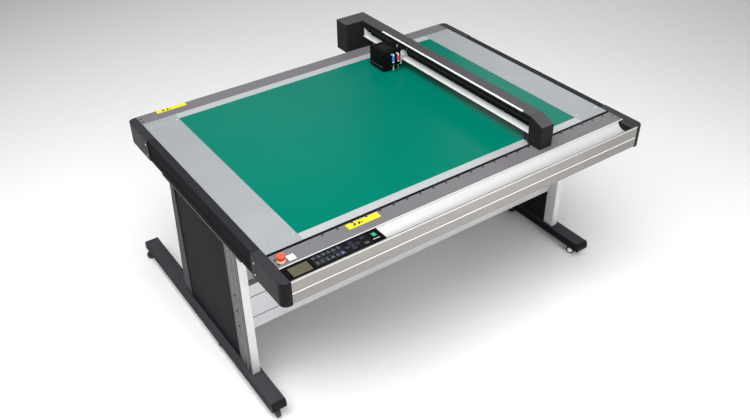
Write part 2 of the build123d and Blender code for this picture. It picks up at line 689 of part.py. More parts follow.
def head_carriage():
    """Upright back plate, runner on the beam's rail and clamp beside the belt."""
    plate = block(PLATE_X, (HEAD_FRONT - 2, HEAD_REAR + 2), (20, HEAD_TOP - 10))
    runner_x = (PLATE_X[0], WALL_FACE_X - 1)
    low, high = Y_RAIL
    runner = block(runner_x, (HEAD_FRONT + 10, HEAD_REAR - 10), (LEDGE_TOP + 2, 82))
    rail_clear = block((WALL_FACE_X - 7, WALL_FACE_X), (HEAD_FRONT, HEAD_REAR), (low - 1, high + 1))
    plate += runner - rail_clear
    middle = (HEAD_FRONT + HEAD_REAR) / 2
    belt_face = Y_BELT_X - BELT_INNER - BELT_THICKNESS - GAP
    return plate + block((belt_face - 6, belt_face), (middle - 12, middle + 12), (81, 98))


def head_cover():
    """Moulded cover open towards the back plate, with a skirt line low on its sides."""
    cover = block((HEAD_LEFT, PLATE_X[0] - 1), (HEAD_FRONT, HEAD_REAR), (HEAD_BOTTOM, HEAD_TOP))
    cover = fillet(cover.edges().filter_by(Axis.Z).group_by(Axis.X)[0], 5)
    cover = chamfer(cover.faces().sort_by(Axis.Z)[-1].edges(), 3)
    inner = block((HEAD_LEFT + 3, PLATE_X[0]), (HEAD_FRONT + 3, HEAD_REAR - 3), (HEAD_BOTTOM - 1, HEAD_TOP - 4))
    cover -= inner
    skirt = block((HEAD_LEFT - 1, HEAD_LEFT + 1), (HEAD_FRONT + 8, HEAD_REAR - 8), (24, 26))
    bridge = block((PLATE_X[0] - 16, PLATE_X[0]), (HEAD_FRONT + 1, HEAD_REAR - 1), (HEAD_TOP - 16, HEAD_TOP - 3))
    return cover - skirt + bridge


CARRIER_Z = (32.0, 80.0)
CLAMP_Z = (34.0, 42.0)
RING_TOP = 46.0


def tool_holder(x, body_low, body_high, tip_z):
    """Carrier slide on the head's face with a round tool: cap, grip body, ring, nose and point."""
    y = TOOL_Y
    clamp_low, clamp_high = CLAMP_Z
    cap_top = body_high + 13
    profile = [(0, tip_z), (0.8, tip_z), (3, tip_z + 6), (3, clamp_low), (4.6, clamp_low), (4.6, clamp_high)]
    profile += [(8, clamp_high), (8, RING_TOP), (4.6, RING_TOP), (4.6, body_low), (6.5, body_low)]
    profile += [(6.5, body_high), (4.4, body_high), (4.4, cap_top - 1), (3.4, cap_top), (0, cap_top)]
    face = Plane(origin=(x, y, 0), x_dir=(1, 0, 0), z_dir=(0, -1, 0)) * make_face(Polyline(*profile, close=True))
    tool = revolve(face, Axis((x, y, 0), (0, 0, 1)))
    carrier = block((x - 9, x + 9), (y + 5, HEAD_FRONT - GAP), CARRIER_Z)
    clamp_block = block((x - 10, x + 10), (y - 5.5, y + 6), CLAMP_Z)
    return carrier + clamp_block + tool


# ---------------------------------------------------------------- stand

FOOT_X = (-FOOT_OUT, FOOT_WIDTH - FOOT_OUT)
FOOT_MIDDLE = FOOT_WIDTH / 2 - FOOT_OUT
FOOT_Y = (FOOT_FRONT, STAND_DEPTH)
STEM_RADIUS = 6.0


def foot_beam():
    """Left foot: rectangular tube with holes for the caster and levelling stems."""
    y = (FOOT_Y[0] + FOOT_CAP, FOOT_Y[1] - FOOT_CAP)
    beam = block(FOOT_X, y, (FOOT_BOTTOM, FOOT_TOP))
    beam = chamfer(beam.edges().filter_by(Axis.Y).group_by(Axis.Z)[-1], 2)
    wall = 3.0
    inner_x = (FOOT_X[0] + wall, FOOT_X[1] - wall)
    beam -= block(inner_x, (y[0] - 1, y[1] + 1), (FOOT_BOTTOM + wall, FOOT_TOP - wall))
    for hole_y in (FOOT_Y[0] + CASTER_INSET, PAD_Y, FOOT_Y[1] - CASTER_INSET):
        start = (FOOT_MIDDLE, hole_y, FOOT_BOTTOM - 1)
        beam -= rod(STEM_RADIUS + RUNNING_FIT, start, (FOOT_MIDDLE, hole_y, FOOT_BOTTOM + wall + 1))
    return beam


def foot_end_caps():
    """Sloped plastic plugs on the four ends of the foot beams."""
    front, low, high = FOOT_Y[0], FOOT_BOTTOM, FOOT_TOP
    outline = [(front + FOOT_CAP, low), (front + 3, low), (front, low + 4), (front, high - 16)]
    outline += [(front + 9, high), (front + FOOT_CAP, high)]
    cap = along_x(outline, *FOOT_X)
    middle = (FOOT_Y[0] + FOOT_Y[1]) / 2
    rear = mirror(cap, about=Plane(origin=(0, middle, 0), z_dir=(0, 1, 0)))
    return [cap, rear, mirrored(cap), mirrored(rear)]


def front_post():
    """Left front post: hollow extrusion with two grooves down each side."""
    x, y = (POST_OUTER, POST_INNER), (POST_FRONT, POST_REAR)
    z = (FOOT_TOP, BRACKET_BOTTOM)
    post = block(x, y, z)
    post = fillet(post.edges().filter_by(Axis.Z).group_by(Axis.Y)[0], 3)
    post -= block((x[0] + 5, x[1] - 5), (y[0] + 5, y[1] - 5), (z[0] - 1, z[1] + 1))
    for groove_y in (y[0] + 30, y[0] + 62):
        for groove_x in (x[0], x[1]):
            reach = (groove_x - 2.5, groove_x + 2.5)
            post -= block(reach, (groove_y, groove_y + 6), (z[0] - 1, z[1] + 1))
    return post


REAR_POST = [(889.0, -106.0), (925.0, -106.0), (985.0, -725.0), (912.0, -725.0)]


def rear_post():
    """Left rear post: hollow and tapered, wider at the foot."""
    post = along_x(REAR_POST, POST_OUTER, POST_INNER)
    hollow = [(895, -100), (919, -100), (979, -731), (918, -731)]
    return post - along_x(hollow, POST_OUTER + 4, POST_INNER - 4)


def leg_panel():
    """Left leg's panel: a hollow core between the posts and a wider inner skin."""
    z = (FOOT_TOP + GAP, BRACKET_BOTTOM - GAP)
    start = POST_REAR + GAP
    outline = [(start, z[1]), (888.7, z[1]), (911.6, z[0]), (start, z[0])]
    x = (POST_OUTER + 4, POST_INNER)
    panel = along_x(outline, *x)
    hollow = [(start + 4, z[1] + 1), (884, z[1] + 1), (907, z[0] - 1), (start + 4, z[0] - 1)]
    panel -= along_x(hollow, x[0] + 2.5, x[1] - 2.5)
    skin = [(POST_FRONT + 55, z[1]), (915, z[1]), (960, z[0]), (POST_FRONT + 55, z[0])]
    return panel + along_x(skin, POST_INNER, POST_INNER + 2.5)


def table_bracket():
    """Left bracket: a plate on the posts and a channel up to the bed."""
    x, y = (2.0, 112.0), (BRACKET_FRONT, BRACKET_REAR)
    bracket = block(x, y, (BRACKET_BOTTOM, -EDGE_HEIGHT - 0.5))
    channel_x = (SIDE_WIDTH + 3, x[1])
    channel = block(channel_x, y, (-EDGE_HEIGHT - 0.5, -33))
    inner_x = (channel_x[0] + 4, channel_x[1] - 4)
    return bracket + channel - block(inner_x, (y[0] - 1, y[1] + 1), (-EDGE_HEIGHT - 0.5, -37))


def crossbeam():
    """Hollow beam of three chambers between the front posts, with grooves where they meet."""
    x = (POST_INNER + 2.5 + GAP, LENGTH - POST_INNER - 2.5 - GAP)
    y = (400.0, 431.0)
    joints = [BEAM_BOTTOM_Z, -477.5, -375.5, BEAM_TOP_Z]
    beam = block(x, y, (BEAM_BOTTOM_Z, BEAM_TOP_Z))
    for low, high in zip(joints, joints[1:]):
        beam -= block((x[0] - 1, x[1] + 1), (y[0] + 3, y[1] - 3), (low + 2.5, high - 2.5))
    for z in joints[1:-1]:
        for face in y:
            beam -= block((x[0] - 1, x[1] + 1), (face - 2, face + 2), (z - 1.2, z + 1.2))
    return beam


# ---------------------------------------------------------------- casters and levelling feet

def swivel_point(name):
    along, side = name.split("_")
    x = FOOT_MIDDLE if side == "left" else LENGTH - FOOT_MIDDLE
    y = FOOT_Y[0] + CASTER_INSET if along == "front" else FOOT_Y[1] - CASTER_INSET
    return x, y


AXLE_Z = -BED_HEIGHT + WHEEL_RADIUS
FORK_TOP = FOOT_BOTTOM - GAP
HALF_TREAD = 8.5
FORK_DISC_RADIUS = 17.0
FORK_DISC_THICKNESS = 3.5
CHEEK = 2.5
AXLE_RADIUS = 3.0
HUB_RADIUS = 6.0
DISH_RADIUS = 15.0


def turned(name, shape):
    """Carry a caster piece, drawn trailing along local x, to its swivel and heading."""
    x, y = swivel_point(name)
    return Pos(x, y, 0) * Rot(0, 0, CASTER_HEADINGS[name]) * shape


def caster_fork(name):
    """Swivel disc, stem, two cheeks and the wheel's pin."""
    fork = rod(FORK_DISC_RADIUS, (0, 0, FORK_TOP - FORK_DISC_THICKNESS), (0, 0, FORK_TOP))
    fork += rod(STEM_RADIUS, (0, 0, FORK_TOP - 1), (0, 0, FOOT_BOTTOM + 12))
    low, high = AXLE_Z - 6, FORK_TOP
    outline = [(-8, high), (CASTER_TRAIL + 4, high), (CASTER_TRAIL + 6, AXLE_Z)]
    outline += [(CASTER_TRAIL, low), (CASTER_TRAIL - 6, low + 2)]
    for side in (-1, 1):
        inner = side * (HALF_TREAD + GAP)
        outer = side * (HALF_TREAD + GAP + CHEEK)
        fork += along_y(outline, min(inner, outer), max(inner, outer))
    reach = HALF_TREAD + GAP + CHEEK + 0.5
    axle = rod(AXLE_RADIUS, (CASTER_TRAIL, -reach, AXLE_Z), (CASTER_TRAIL, reach, AXLE_Z))
    return turned(name, fork + axle)


def caster_wheel(name):
    """Tyre and hub in one, with a dished side and a rounded tread."""
    wheel = Cylinder(WHEEL_RADIUS, 2 * HALF_TREAD)
    wheel = fillet(wheel.edges(), 3)
    for side in (-1, 1):
        ring = Cylinder(DISH_RADIUS, 3) - Cylinder(HUB_RADIUS, 3)
        wheel -= Pos(0, 0, side * HALF_TREAD) * ring
    wheel -= Cylinder(AXLE_RADIUS + RUNNING_FIT, 2 * HALF_TREAD + 2)
    return turned(name, Pos(CASTER_TRAIL, 0, AXLE_Z) * Rot(90, 0, 0) * wheel)


PAD_RADIUS = 24.0
PAD_BOTTOM = -804.0
PAD_TOP = -798.0


def levelling_foot(x):
    """Threaded foot: round pad, hexagon and stem up into the foot beam."""
    pad = rod(PAD_RADIUS, (x, PAD_Y, PAD_BOTTOM), (x, PAD_Y, PAD_TOP))
    pad = fillet(pad.edges().group_by(Axis.Z)[-1], 2)
    pad += Pos(x, PAD_Y, PAD_TOP) * extrude(RegularPolygon(11, 6), 8)
    return pad + rod(STEM_RADIUS, (x, PAD_Y, PAD_TOP - 1), (x, PAD_Y, FOOT_TOP - 15))


# ---------------------------------------------------------------- all pieces

save("front_rail", front_rail())
save("rear_rail", rear_rail())
save("front_rail_cover", rail_cover(TRAY_REAR, SLOT_FRONT))
save("rear_rail_cover", rail_cover(REAR_COVER_FRONT, DEPTH))
save("side_rails", side_rail(), mirrored(side_rail()))
caps = [corner_cap(), rear_corner_cap()]
save("corner_caps", *caps, *[mirrored(cap) for cap in caps])
save("table_screws", *table_screws())
save("bed_core", bed_core())
save("cutting_mat", cutting_mat())
plate_y = (MAT_FRONT + GAP, MAT_REAR - GAP)
save("left_bed_plate", bed_plate((SIDE_WIDTH + GAP, MAT_LEFT), plate_y))
save("right_bed_plate", bed_plate((MAT_RIGHT, LENGTH - SIDE_WIDTH - GAP), plate_y))
save("bed_strips", *bed_strips())
save("control_panel", control_panel())
save("display_window", display_window())
save("membrane_keypad", membrane_keypad())
save("start_key", start_key())
save("estop_collar", estop_collar())
save("estop_button", estop_button())
save("tray_end_block", tray_end_block())
save("guide_rails", *guide_rails())
save("drive_belts", *drive_belts())
save("drive_shaft", drive_shaft())
save("front_belt_idler", belt_idler(FRONT_BELT_Y))
save("rear_belt_idler", belt_idler(REAR_BELT_Y))
save("x_motor", x_motor())
save("controller_box", controller_box())
save("power_inlet", power_inlet())

save("gantry_beam", gantry_beam())
save("gantry_ledge", gantry_ledge())
save("gantry_cover", gantry_cover())
save("gantry_edge_strip", gantry_edge_strip())
save("gantry_front_cap", gantry_front_cap() + cap_floor() + idler_pin())
save("gantry_rear_box", gantry_rear_box())
save("gantry_trucks", front_truck(), rear_truck())
save("y_motor", y_motor())
save("y_belt", y_belt())
save("y_drive_pulley", pulley((Y_BELT_X, Y_PULLEY_Y, Y_BELT_Z), 4 + RUNNING_FIT))
save("y_idler_pulley", pulley((Y_BELT_X, Y_IDLER_Y, Y_BELT_Z), 4 + RUNNING_FIT))

save("head_carriage", head_carriage())
save("head_cover", head_cover())
save("pen_holder", tool_holder(PEN_X, 50, 78, 5.8))
save("blade_holder", tool_holder(BLADE_X, 52, 76, 8.0))

save("left_foot", foot_beam())
save("right_foot", mirrored(foot_beam()))
save("foot_end_caps", *foot_end_caps())
save("front_posts", front_post(), mirrored(front_post()))
save("rear_posts", rear_post(), mirrored(rear_post()))
save("leg_panels", leg_panel(), mirrored(leg_panel()))
save("table_brackets", table_bracket(), mirrored(table_bracket()))
save("crossbeam", crossbeam())
for corner in CASTER_HEADINGS:
    save(f"{corner}_caster_fork", caster_fork(corner))
    save(f"{corner}_caster_wheel", caster_wheel(corner))
save("left_levelling_foot", levelling_foot(FOOT_MIDDLE))
save("right_levelling_foot", levelling_foot(LENGTH - FOOT_MIDDLE))
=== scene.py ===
"""Looks of the flatbed cutting plotter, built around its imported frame. All lengths are in metres."""
import json
import math
import random

import bmesh
import bpy
from mathutils import Matrix, Vector


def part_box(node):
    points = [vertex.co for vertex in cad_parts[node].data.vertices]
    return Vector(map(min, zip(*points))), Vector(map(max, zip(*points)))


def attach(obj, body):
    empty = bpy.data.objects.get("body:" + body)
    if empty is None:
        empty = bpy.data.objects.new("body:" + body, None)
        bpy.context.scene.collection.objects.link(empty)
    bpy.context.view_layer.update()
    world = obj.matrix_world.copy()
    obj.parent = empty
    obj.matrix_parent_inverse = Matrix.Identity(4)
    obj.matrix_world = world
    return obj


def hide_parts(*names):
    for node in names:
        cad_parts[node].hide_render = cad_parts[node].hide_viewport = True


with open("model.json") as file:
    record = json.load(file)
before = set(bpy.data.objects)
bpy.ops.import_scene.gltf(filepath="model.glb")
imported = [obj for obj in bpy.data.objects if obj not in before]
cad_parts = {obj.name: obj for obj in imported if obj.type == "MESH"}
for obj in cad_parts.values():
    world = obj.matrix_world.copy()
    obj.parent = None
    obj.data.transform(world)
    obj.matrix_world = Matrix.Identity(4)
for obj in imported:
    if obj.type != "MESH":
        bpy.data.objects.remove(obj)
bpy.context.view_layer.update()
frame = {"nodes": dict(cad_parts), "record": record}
NODES = frame["nodes"]
MM = 0.001


# ---------------------------------------------------------------- node graph helpers

class Graph:
    """A material's node tree, with short calls for the nodes that the finishes share."""

    def __init__(self, name):
        self.material = bpy.data.materials.new(name)
        self.material.use_nodes = True
        self.tree = self.material.node_tree
        self.shader = self.tree.nodes["Principled BSDF"]
        self.place = self.tree.nodes.new("ShaderNodeTexCoord").outputs["Object"]

    def add(self, kind, **settings):
        node = self.tree.nodes.new("ShaderNode" + kind)
        for name, value in settings.items():
            setattr(node, name, value)
        return node

    def join(self, output, node_input):
        self.tree.links.new(output, node_input)

    def put(self, node, name, value):
        """Link an output to an input, or set a plain value on it."""
        if isinstance(value, bpy.types.NodeSocket):
            self.join(value, node.inputs[name])
        else:
            node.inputs[name].default_value = value

    def noise(self, size, detail=2.0, stretch=(1, 1, 1)):
        """Noise whose blobs are about size metres across, stretched along the axes."""
        mapping = self.add("Mapping")
        self.join(self.place, mapping.inputs["Vector"])
        mapping.inputs["Scale"].default_value = [1 / (size * s) for s in stretch]
        texture = self.add("TexNoise")
        self.join(mapping.outputs["Vector"], texture.inputs["Vector"])
        texture.inputs["Scale"].default_value = 1.0
        texture.inputs["Detail"].default_value = detail
        return texture.outputs["Fac"]

    def remap(self, value, low, high, to_low=0.0, to_high=1.0):
        """A value carried from one range to another, and held at its ends."""
        node = self.add("MapRange")
        self.put(node, "Value", value)
        for name, number in (("From Min", low), ("From Max", high), ("To Min", to_low), ("To Max", to_high)):
            node.inputs[name].default_value = number
        return node.outputs["Result"]

    def math(self, operation, a, b=0.5):
        node = self.add("Math", operation=operation)
        for place, value in zip(node.inputs, (a, b)):
            if isinstance(value, bpy.types.NodeSocket):
                self.join(value, place)
            else:
                place.default_value = value
        return node.outputs["Value"]

    def mix(self, factor, a, b):
        """Mix two colours, each a tuple or an output."""
        node = self.add("Mix", data_type="RGBA")
        for index, value in ((0, factor), (6, a), (7, b)):
            place = node.inputs[index]
            if isinstance(value, bpy.types.NodeSocket):
                self.join(value, place)
            else:
                place.default_value = value if index == 0 else (*value[:3], 1.0)
        return node.outputs[2]

    def edges(self, radius, low=0.01, high=0.12):
        """1 along the outer edges of the shape and 0 elsewhere."""
        bevel = self.add("Bevel", samples=4)
        bevel.inputs["Radius"].default_value = radius
        normal = self.add("NewGeometry").outputs["Normal"]
        dot = self.add("VectorMath", operation="DOT_PRODUCT")
        self.join(bevel.outputs["Normal"], dot.inputs[0])
        self.join(normal, dot.inputs[1])
        away = self.math("SUBTRACT", 1.0, dot.outputs["Value"])
        return self.remap(away, low, high)

    def band(self, value, low, high):
        """1 where a value lies between two bounds."""
        above = self.math("GREATER_THAN", value, low)
        return self.math("MULTIPLY", above, self.math("LESS_THAN", value, high))

    def axis(self, name):
        """One coordinate of the point, in metres in the object's frame."""
        split = self.add("SeparateXYZ")
        self.join(self.place, split.inputs[0])
        return split.outputs[name]

    def normal(self, name):
        """One part of the direction that the face looks in."""
        split = self.add("SeparateXYZ")
        self.join(self.add("TexCoord").outputs["Normal"], split.inputs[0])
        return split.outputs[name]

    def facing(self, name, low=0.5, high=0.8):
        """1 on faces turned along an axis of the piece, either way, and 0 on the others."""
        return self.remap(self.math("ABSOLUTE", self.normal(name)), low, high)

    def outward(self, name):
        """1 on faces turned away from the middle of the machine along an axis, and 0 on the others."""
        return self.remap(self.math("MULTIPLY", self.normal(name), self.axis(name)), 0.2, 0.4)

    def bump(self, height, depth, strength=1.0, below=None):
        """Relief of depth metres on the shader's normal."""
        node = self.add("Bump")
        node.inputs["Strength"].default_value = strength
        node.inputs["Distance"].default_value = depth
        self.join(height, node.inputs["Height"])
        if below is not None:
            self.join(below, node.inputs["Normal"])
        return node.outputs["Normal"]


def shade(colour, share):
    """A colour brightened or darkened by a share, and never brighter than white."""
    return tuple(min(1.0, c * share) for c in colour[:3])


def finish(name, colour, roughness, metallic=0.0, mottle=0.06, mottle_size=0.12, grain=None, brushed=None,
           wear=0.0, wear_colour=None, coat=0.0, smudge=0.05, specular=0.5, side=None):
    """A finish with colour drift, roughness drift, grain or brush lines, and worn edges.
    side is an axis name with the colour and roughness of the faces turned along it; that colour is painted
    light or shade, such as a painted sheen on top faces or painted shade on side faces."""
    g = Graph(name)
    shader = g.shader
    drift = g.noise(mottle_size, 3)
    base = g.mix(drift, shade(colour, 1 - mottle), shade(colour, 1 + mottle))
    rough = g.remap(g.noise(mottle_size * 0.6, 4), 0.3, 0.7, roughness - smudge, roughness + smudge)
    normal = None
    if grain:
        size, depth = grain
        height = g.noise(size, 2)
        normal = g.bump(height, depth)
        base = g.mix(g.remap(height, 0.35, 0.65), shade_mix(g, base, 0.97), base)
    if brushed:
        stretch = [60.0 if axis in brushed else 1.0 for axis in "xyz"]
        lines = g.noise(0.0009, 2, stretch)
        base = g.mix(g.remap(lines, 0.3, 0.7, 0.0, 1.0), shade_mix(g, base, 0.90), base)
        rough = g.math("ADD", rough, g.remap(lines, 0.3, 0.7, -0.05, 0.05))
        normal = g.bump(lines, 0.00001)
    # Faces turned along the axis get another colour and roughness: painted light or shade, not a change of
    # material.
    if side:
        axis, tone, side_roughness = side
        painted_light_faces = g.facing(axis)
        base = g.mix(painted_light_faces, base, g.mix(drift, shade(tone, 1 - mottle), shade(tone, 1 + mottle)))
        rough = g.math("ADD", rough, g.remap(painted_light_faces, 0.0, 1.0, 0.0, side_roughness - roughness))
    if wear:
        worn = g.math("MULTIPLY", g.edges(0.0012), g.remap(g.noise(0.02, 3), 0.35, 0.65, 0.4, 1.0))
        tone = wear_colour or shade(colour, 2.2)
        base = g.mix(g.math("MULTIPLY", worn, wear), base, tone)
    g.put(shader, "Base Color", base)
    g.put(shader, "Roughness", rough)
    shader.inputs["Metallic"].default_value = metallic
    shader.inputs["Coat Weight"].default_value = coat
    shader.inputs["Specular IOR Level"].default_value = specular
    if normal is not None:
        g.join(normal, shader.inputs["Normal"])
    return g.material


def shade_mix(g, colour, share):
    """A colour output darkened to a share of itself."""
    return g.mix(1 - share, colour, (0, 0, 0))


# ---------------------------------------------------------------- finishes

# Front rail: colours of the face above and below its groove, the lower one darker as painted shade; of the cut
# edges and the rim, painted highlights; of the tray, painted from shade at its front to light at its rear; and
# of the chamber, painted near black as shade
FASCIA = (0.308, 0.296, 0.277)
FASCIA_LOW_SHADED = (0.248, 0.237, 0.225)
CUT_FLANK_HIGHLIGHT = (0.80, 0.78, 0.75)
RIM_HIGHLIGHT = (0.66, 0.645, 0.62)
TRAY_FRONT_SHADED = (0.14, 0.14, 0.14)
TRAY_REAR_LIT = (0.75, 0.75, 0.75)
CHAMBER_SHADE = (0.004, 0.004, 0.004)

# Front rail: where those are, back from its front face and up from its top
LIP = 0.0008
TRAY_DEPTH = 0.0802
CHAMBER = (0.084, 0.200)
FASCIA_GROOVE = -0.049
GROOVE = (-0.0535, -0.0480)
RIM = (-0.0065, 0.0010)

# Bed and mat
BED_PLATE = (0.35, 0.37, 0.38)
BED_STRIP = (0.48, 0.505, 0.515)
MAT = (0.0, 0.155, 0.107)
BLADE_TRACK = (0.05, 0.33, 0.25)

# Stand: colours, with the posts' outer sides darker as painted shade, and the crossbeam's grooves, which are
# painted dark as shade, down from its top with half their width
POST_FACE = (0.72, 0.71, 0.72)
POST_SIDE_SHADED = (0.085, 0.082, 0.087)
BEAM = (0.56, 0.56, 0.58)
BEAM_GROOVES = (0.0575, 0.1595)
BEAM_GROOVE_HALF = 0.0018

OLIVE = (0.088, 0.084, 0.055)
DOT_PITCH = 0.0009
DOT_GAP = 0.00008


def rail_finish():
    """Brushed champagne face, with painted shade on its lower part and painted highlights on its cut flanks and
    rim, and a satin trough behind its lip, painted from shade at the front to light at the rear, with painted
    shade in the chamber behind it.
    """
    g = Graph("fascia_aluminium")
    low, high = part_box("front_rail")
    depth, height = g.axis("Y"), g.axis("Z")
    lines = g.noise(0.0007, 2, (60, 1, 1))
    drift = g.noise(0.25, 2)
    face = g.mix(drift, shade(FASCIA, 0.95), shade(FASCIA, 1.05))
    face = g.mix(g.remap(lines, 0.3, 0.7, 0.0, 0.16), face, shade(FASCIA, 0.6))
    ribs = g.noise(0.0024, 1, (80, 1, 1))
    face = g.mix(g.remap(ribs, 0.38, 0.62, 0.0, 0.22), face, shade(FASCIA, 0.5))
    # The trough is painted from shade at its front to light at its rear.
    trough = g.mix(g.remap(depth, low.y, low.y + TRAY_DEPTH), TRAY_FRONT_SHADED, TRAY_REAR_LIT)
    inside = g.band(depth, low.y + LIP, low.y + TRAY_DEPTH)
    lower = g.band(height, low.z - 0.001, high.z + FASCIA_GROOVE)
    # The chamber behind the tray is painted near black as shade.
    dark = g.band(depth, low.y + CHAMBER[0], low.y + CHAMBER[1])
    # The face below the groove gets a darker copy of the colour: painted shade.
    face = g.mix(lower, face, g.mix(drift, shade(FASCIA_LOW_SHADED, 0.96), shade(FASCIA_LOW_SHADED, 1.04)))
    # Painted highlight on the groove's cut flank, where light from above falls.
    cut = g.band(height, high.z + GROOVE[0], high.z + GROOVE[1])
    # Painted highlight along the rim at the top edge.
    rim = g.band(height, high.z + RIM[0], high.z + RIM[1])
    face = g.mix(rim, g.mix(cut, face, CUT_FLANK_HIGHLIGHT), RIM_HIGHLIGHT)
    base = g.mix(dark, g.mix(inside, face, trough), CHAMBER_SHADE)
    g.put(g.shader, "Base Color", base)
    g.put(g.shader, "Roughness", g.remap(lines, 0.3, 0.7, 0.34, 0.46))
    plain = g.math("MAXIMUM", inside, g.math("MAXIMUM", cut, dark))
    g.put(g.shader, "Metallic", g.remap(plain, 0, 1, 0.7, 0.15))
    g.join(g.bump(lines, 0.000006, below=g.bump(ribs, 0.00003)), g.shader.inputs["Normal"])
    return g.material


def mat_finish():
    """Self-healing mat: fine pebbled face, faint blade tracks and a slow colour drift."""
    g = Graph("mat_green")
    drift = g.noise(0.5, 3)
    base = g.mix(drift, shade(MAT, 0.92), shade(MAT, 1.06))
    pebble = g.noise(0.0011, 3)
    base = g.mix(g.remap(pebble, 0.35, 0.65, 0.0, 0.10), base, shade(MAT, 0.6))
    tracks = g.noise(0.012, 4, (1, 40, 1))
    faint = g.remap(tracks, 0.72, 0.78, 0.0, 0.05)
    base = g.mix(faint, base, BLADE_TRACK)
    g.put(g.shader, "Base Color", base)
    g.put(g.shader, "Roughness", g.remap(g.noise(0.2, 4), 0.3, 0.7, 0.23, 0.28))
    g.shader.inputs["Specular IOR Level"].default_value = 0.03
    g.join(g.bump(pebble, 0.00004, 0.6), g.shader.inputs["Normal"])
    return g.material


def plate_finish():
    """Satin anodised sheet with a faint rolled grain and fine speckle, brighter along the mat."""
    g = Graph("bed_aluminium")
    drift = g.noise(0.16, 4)
    base = g.mix(drift, shade(BED_PLATE, 0.94), shade(BED_PLATE, 1.05))
    low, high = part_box("cutting_mat")
    beside_mat = g.math("SUBTRACT", 1.0, g.band(g.axis("Y"), low.y, high.y))
    strip = g.math("MULTIPLY", beside_mat, g.band(g.axis("X"), low.x, high.x))
    base = g.mix(strip, base, BED_STRIP)
    speckle = g.noise(0.0016, 2)
    base = g.mix(g.remap(speckle, 0.4, 0.7, 0.0, 0.10), base, shade(BED_PLATE, 0.7))
    rolled = g.noise(0.003, 2, (1, 25, 1))
    base = g.mix(g.remap(rolled, 0.35, 0.65, 0.0, 0.06), base, shade(BED_PLATE, 1.25))
    g.put(g.shader, "Base Color", base)
    g.put(g.shader, "Roughness", g.remap(drift, 0.3, 0.7, 0.44, 0.56))
    g.shader.inputs["Metallic"].default_value = 0.35
    g.join(g.bump(speckle, 0.00001), g.shader.inputs["Normal"])
    return g.material


def post_finish():
    """Satin faces, and grooved outer sides painted darker as shade."""
    g = Graph("post_aluminium")
    lines = g.noise(0.0009, 2, (1, 1, 60))
    drift = g.noise(0.12, 2)
    face = g.mix(drift, shade(POST_FACE, 0.97), shade(POST_FACE, 1.03))
    side = g.mix(drift, shade(POST_SIDE_SHADED, 0.90), shade(POST_SIDE_SHADED, 1.10))
    # Outer sides get a darker copy of the aluminium: painted shade.
    base = g.mix(g.outward("X"), face, side)
    g.put(g.shader, "Base Color", g.mix(g.remap(lines, 0.3, 0.7, 0.0, 0.10), base, shade(POST_SIDE_SHADED, 0.5)))
    g.put(g.shader, "Roughness", g.remap(lines, 0.3, 0.7, 0.30, 0.40))
    g.shader.inputs["Metallic"].default_value = 0.35
    g.shader.inputs["Specular IOR Level"].default_value = 0.1
    g.join(g.bump(lines, 0.000006), g.shader.inputs["Normal"])
    return g.material


def beam_finish():
    """Brushed crossbeam, with painted shade in the two grooves where its chambers meet."""
    g = Graph("beam_aluminium")
    height, top = g.axis("Z"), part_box("crossbeam")[1].z
    lines = g.noise(0.0009, 2, (60, 1, 1))
    base = g.mix(g.noise(0.12, 3), shade(BEAM, 0.94), shade(BEAM, 1.06))
    base = g.mix(g.remap(lines, 0.3, 0.7, 0.0, 0.10), base, shade(BEAM, 0.5))
    # Painted shade: dark lines at the grooves' heights.
    for depth in BEAM_GROOVES:
        groove_shade = g.band(height, top - depth - BEAM_GROOVE_HALF, top - depth + BEAM_GROOVE_HALF)
        base = g.mix(groove_shade, base, shade(BEAM, 0.05))
    g.put(g.shader, "Base Color", base)
    g.put(g.shader, "Roughness", g.remap(lines, 0.3, 0.7, 0.32, 0.42))
    g.shader.inputs["Metallic"].default_value = 0.6
    g.join(g.bump(lines, 0.00001), g.shader.inputs["Normal"])
    return g.material


def display_finish():
    """Unlit liquid crystal: olive glass over a fine grid of dots."""
    g = Graph("display_glass")
    grid = g.add("TexBrick", offset=0.0)
    mapping = g.add("Mapping")
    g.join(g.place, mapping.inputs["Vector"])
    g.join(mapping.outputs["Vector"], grid.inputs["Vector"])
    grid.inputs["Scale"].default_value = 1.0
    grid.inputs["Brick Width"].default_value = DOT_PITCH
    grid.inputs["Row Height"].default_value = DOT_PITCH
    grid.inputs["Mortar Size"].default_value = DOT_GAP
    dots = g.mix(g.remap(grid.outputs["Fac"], 0, 1, 0.0, 0.35), OLIVE, shade(OLIVE, 0.55))
    g.put(g.shader, "Base Color", g.mix(g.noise(0.03, 2), dots, shade(OLIVE, 1.1)))
    g.put(g.shader, "Roughness", g.remap(g.noise(0.02, 3), 0.3, 0.7, 0.12, 0.22))
    return g.material


# Size of a grain's blobs and depth of its relief
PAINT_GRAIN = (0.0007, 0.00003)
MOULD_GRAIN = (0.0005, 0.00002)
TREAD_GRAIN = (0.0012, 0.00003)

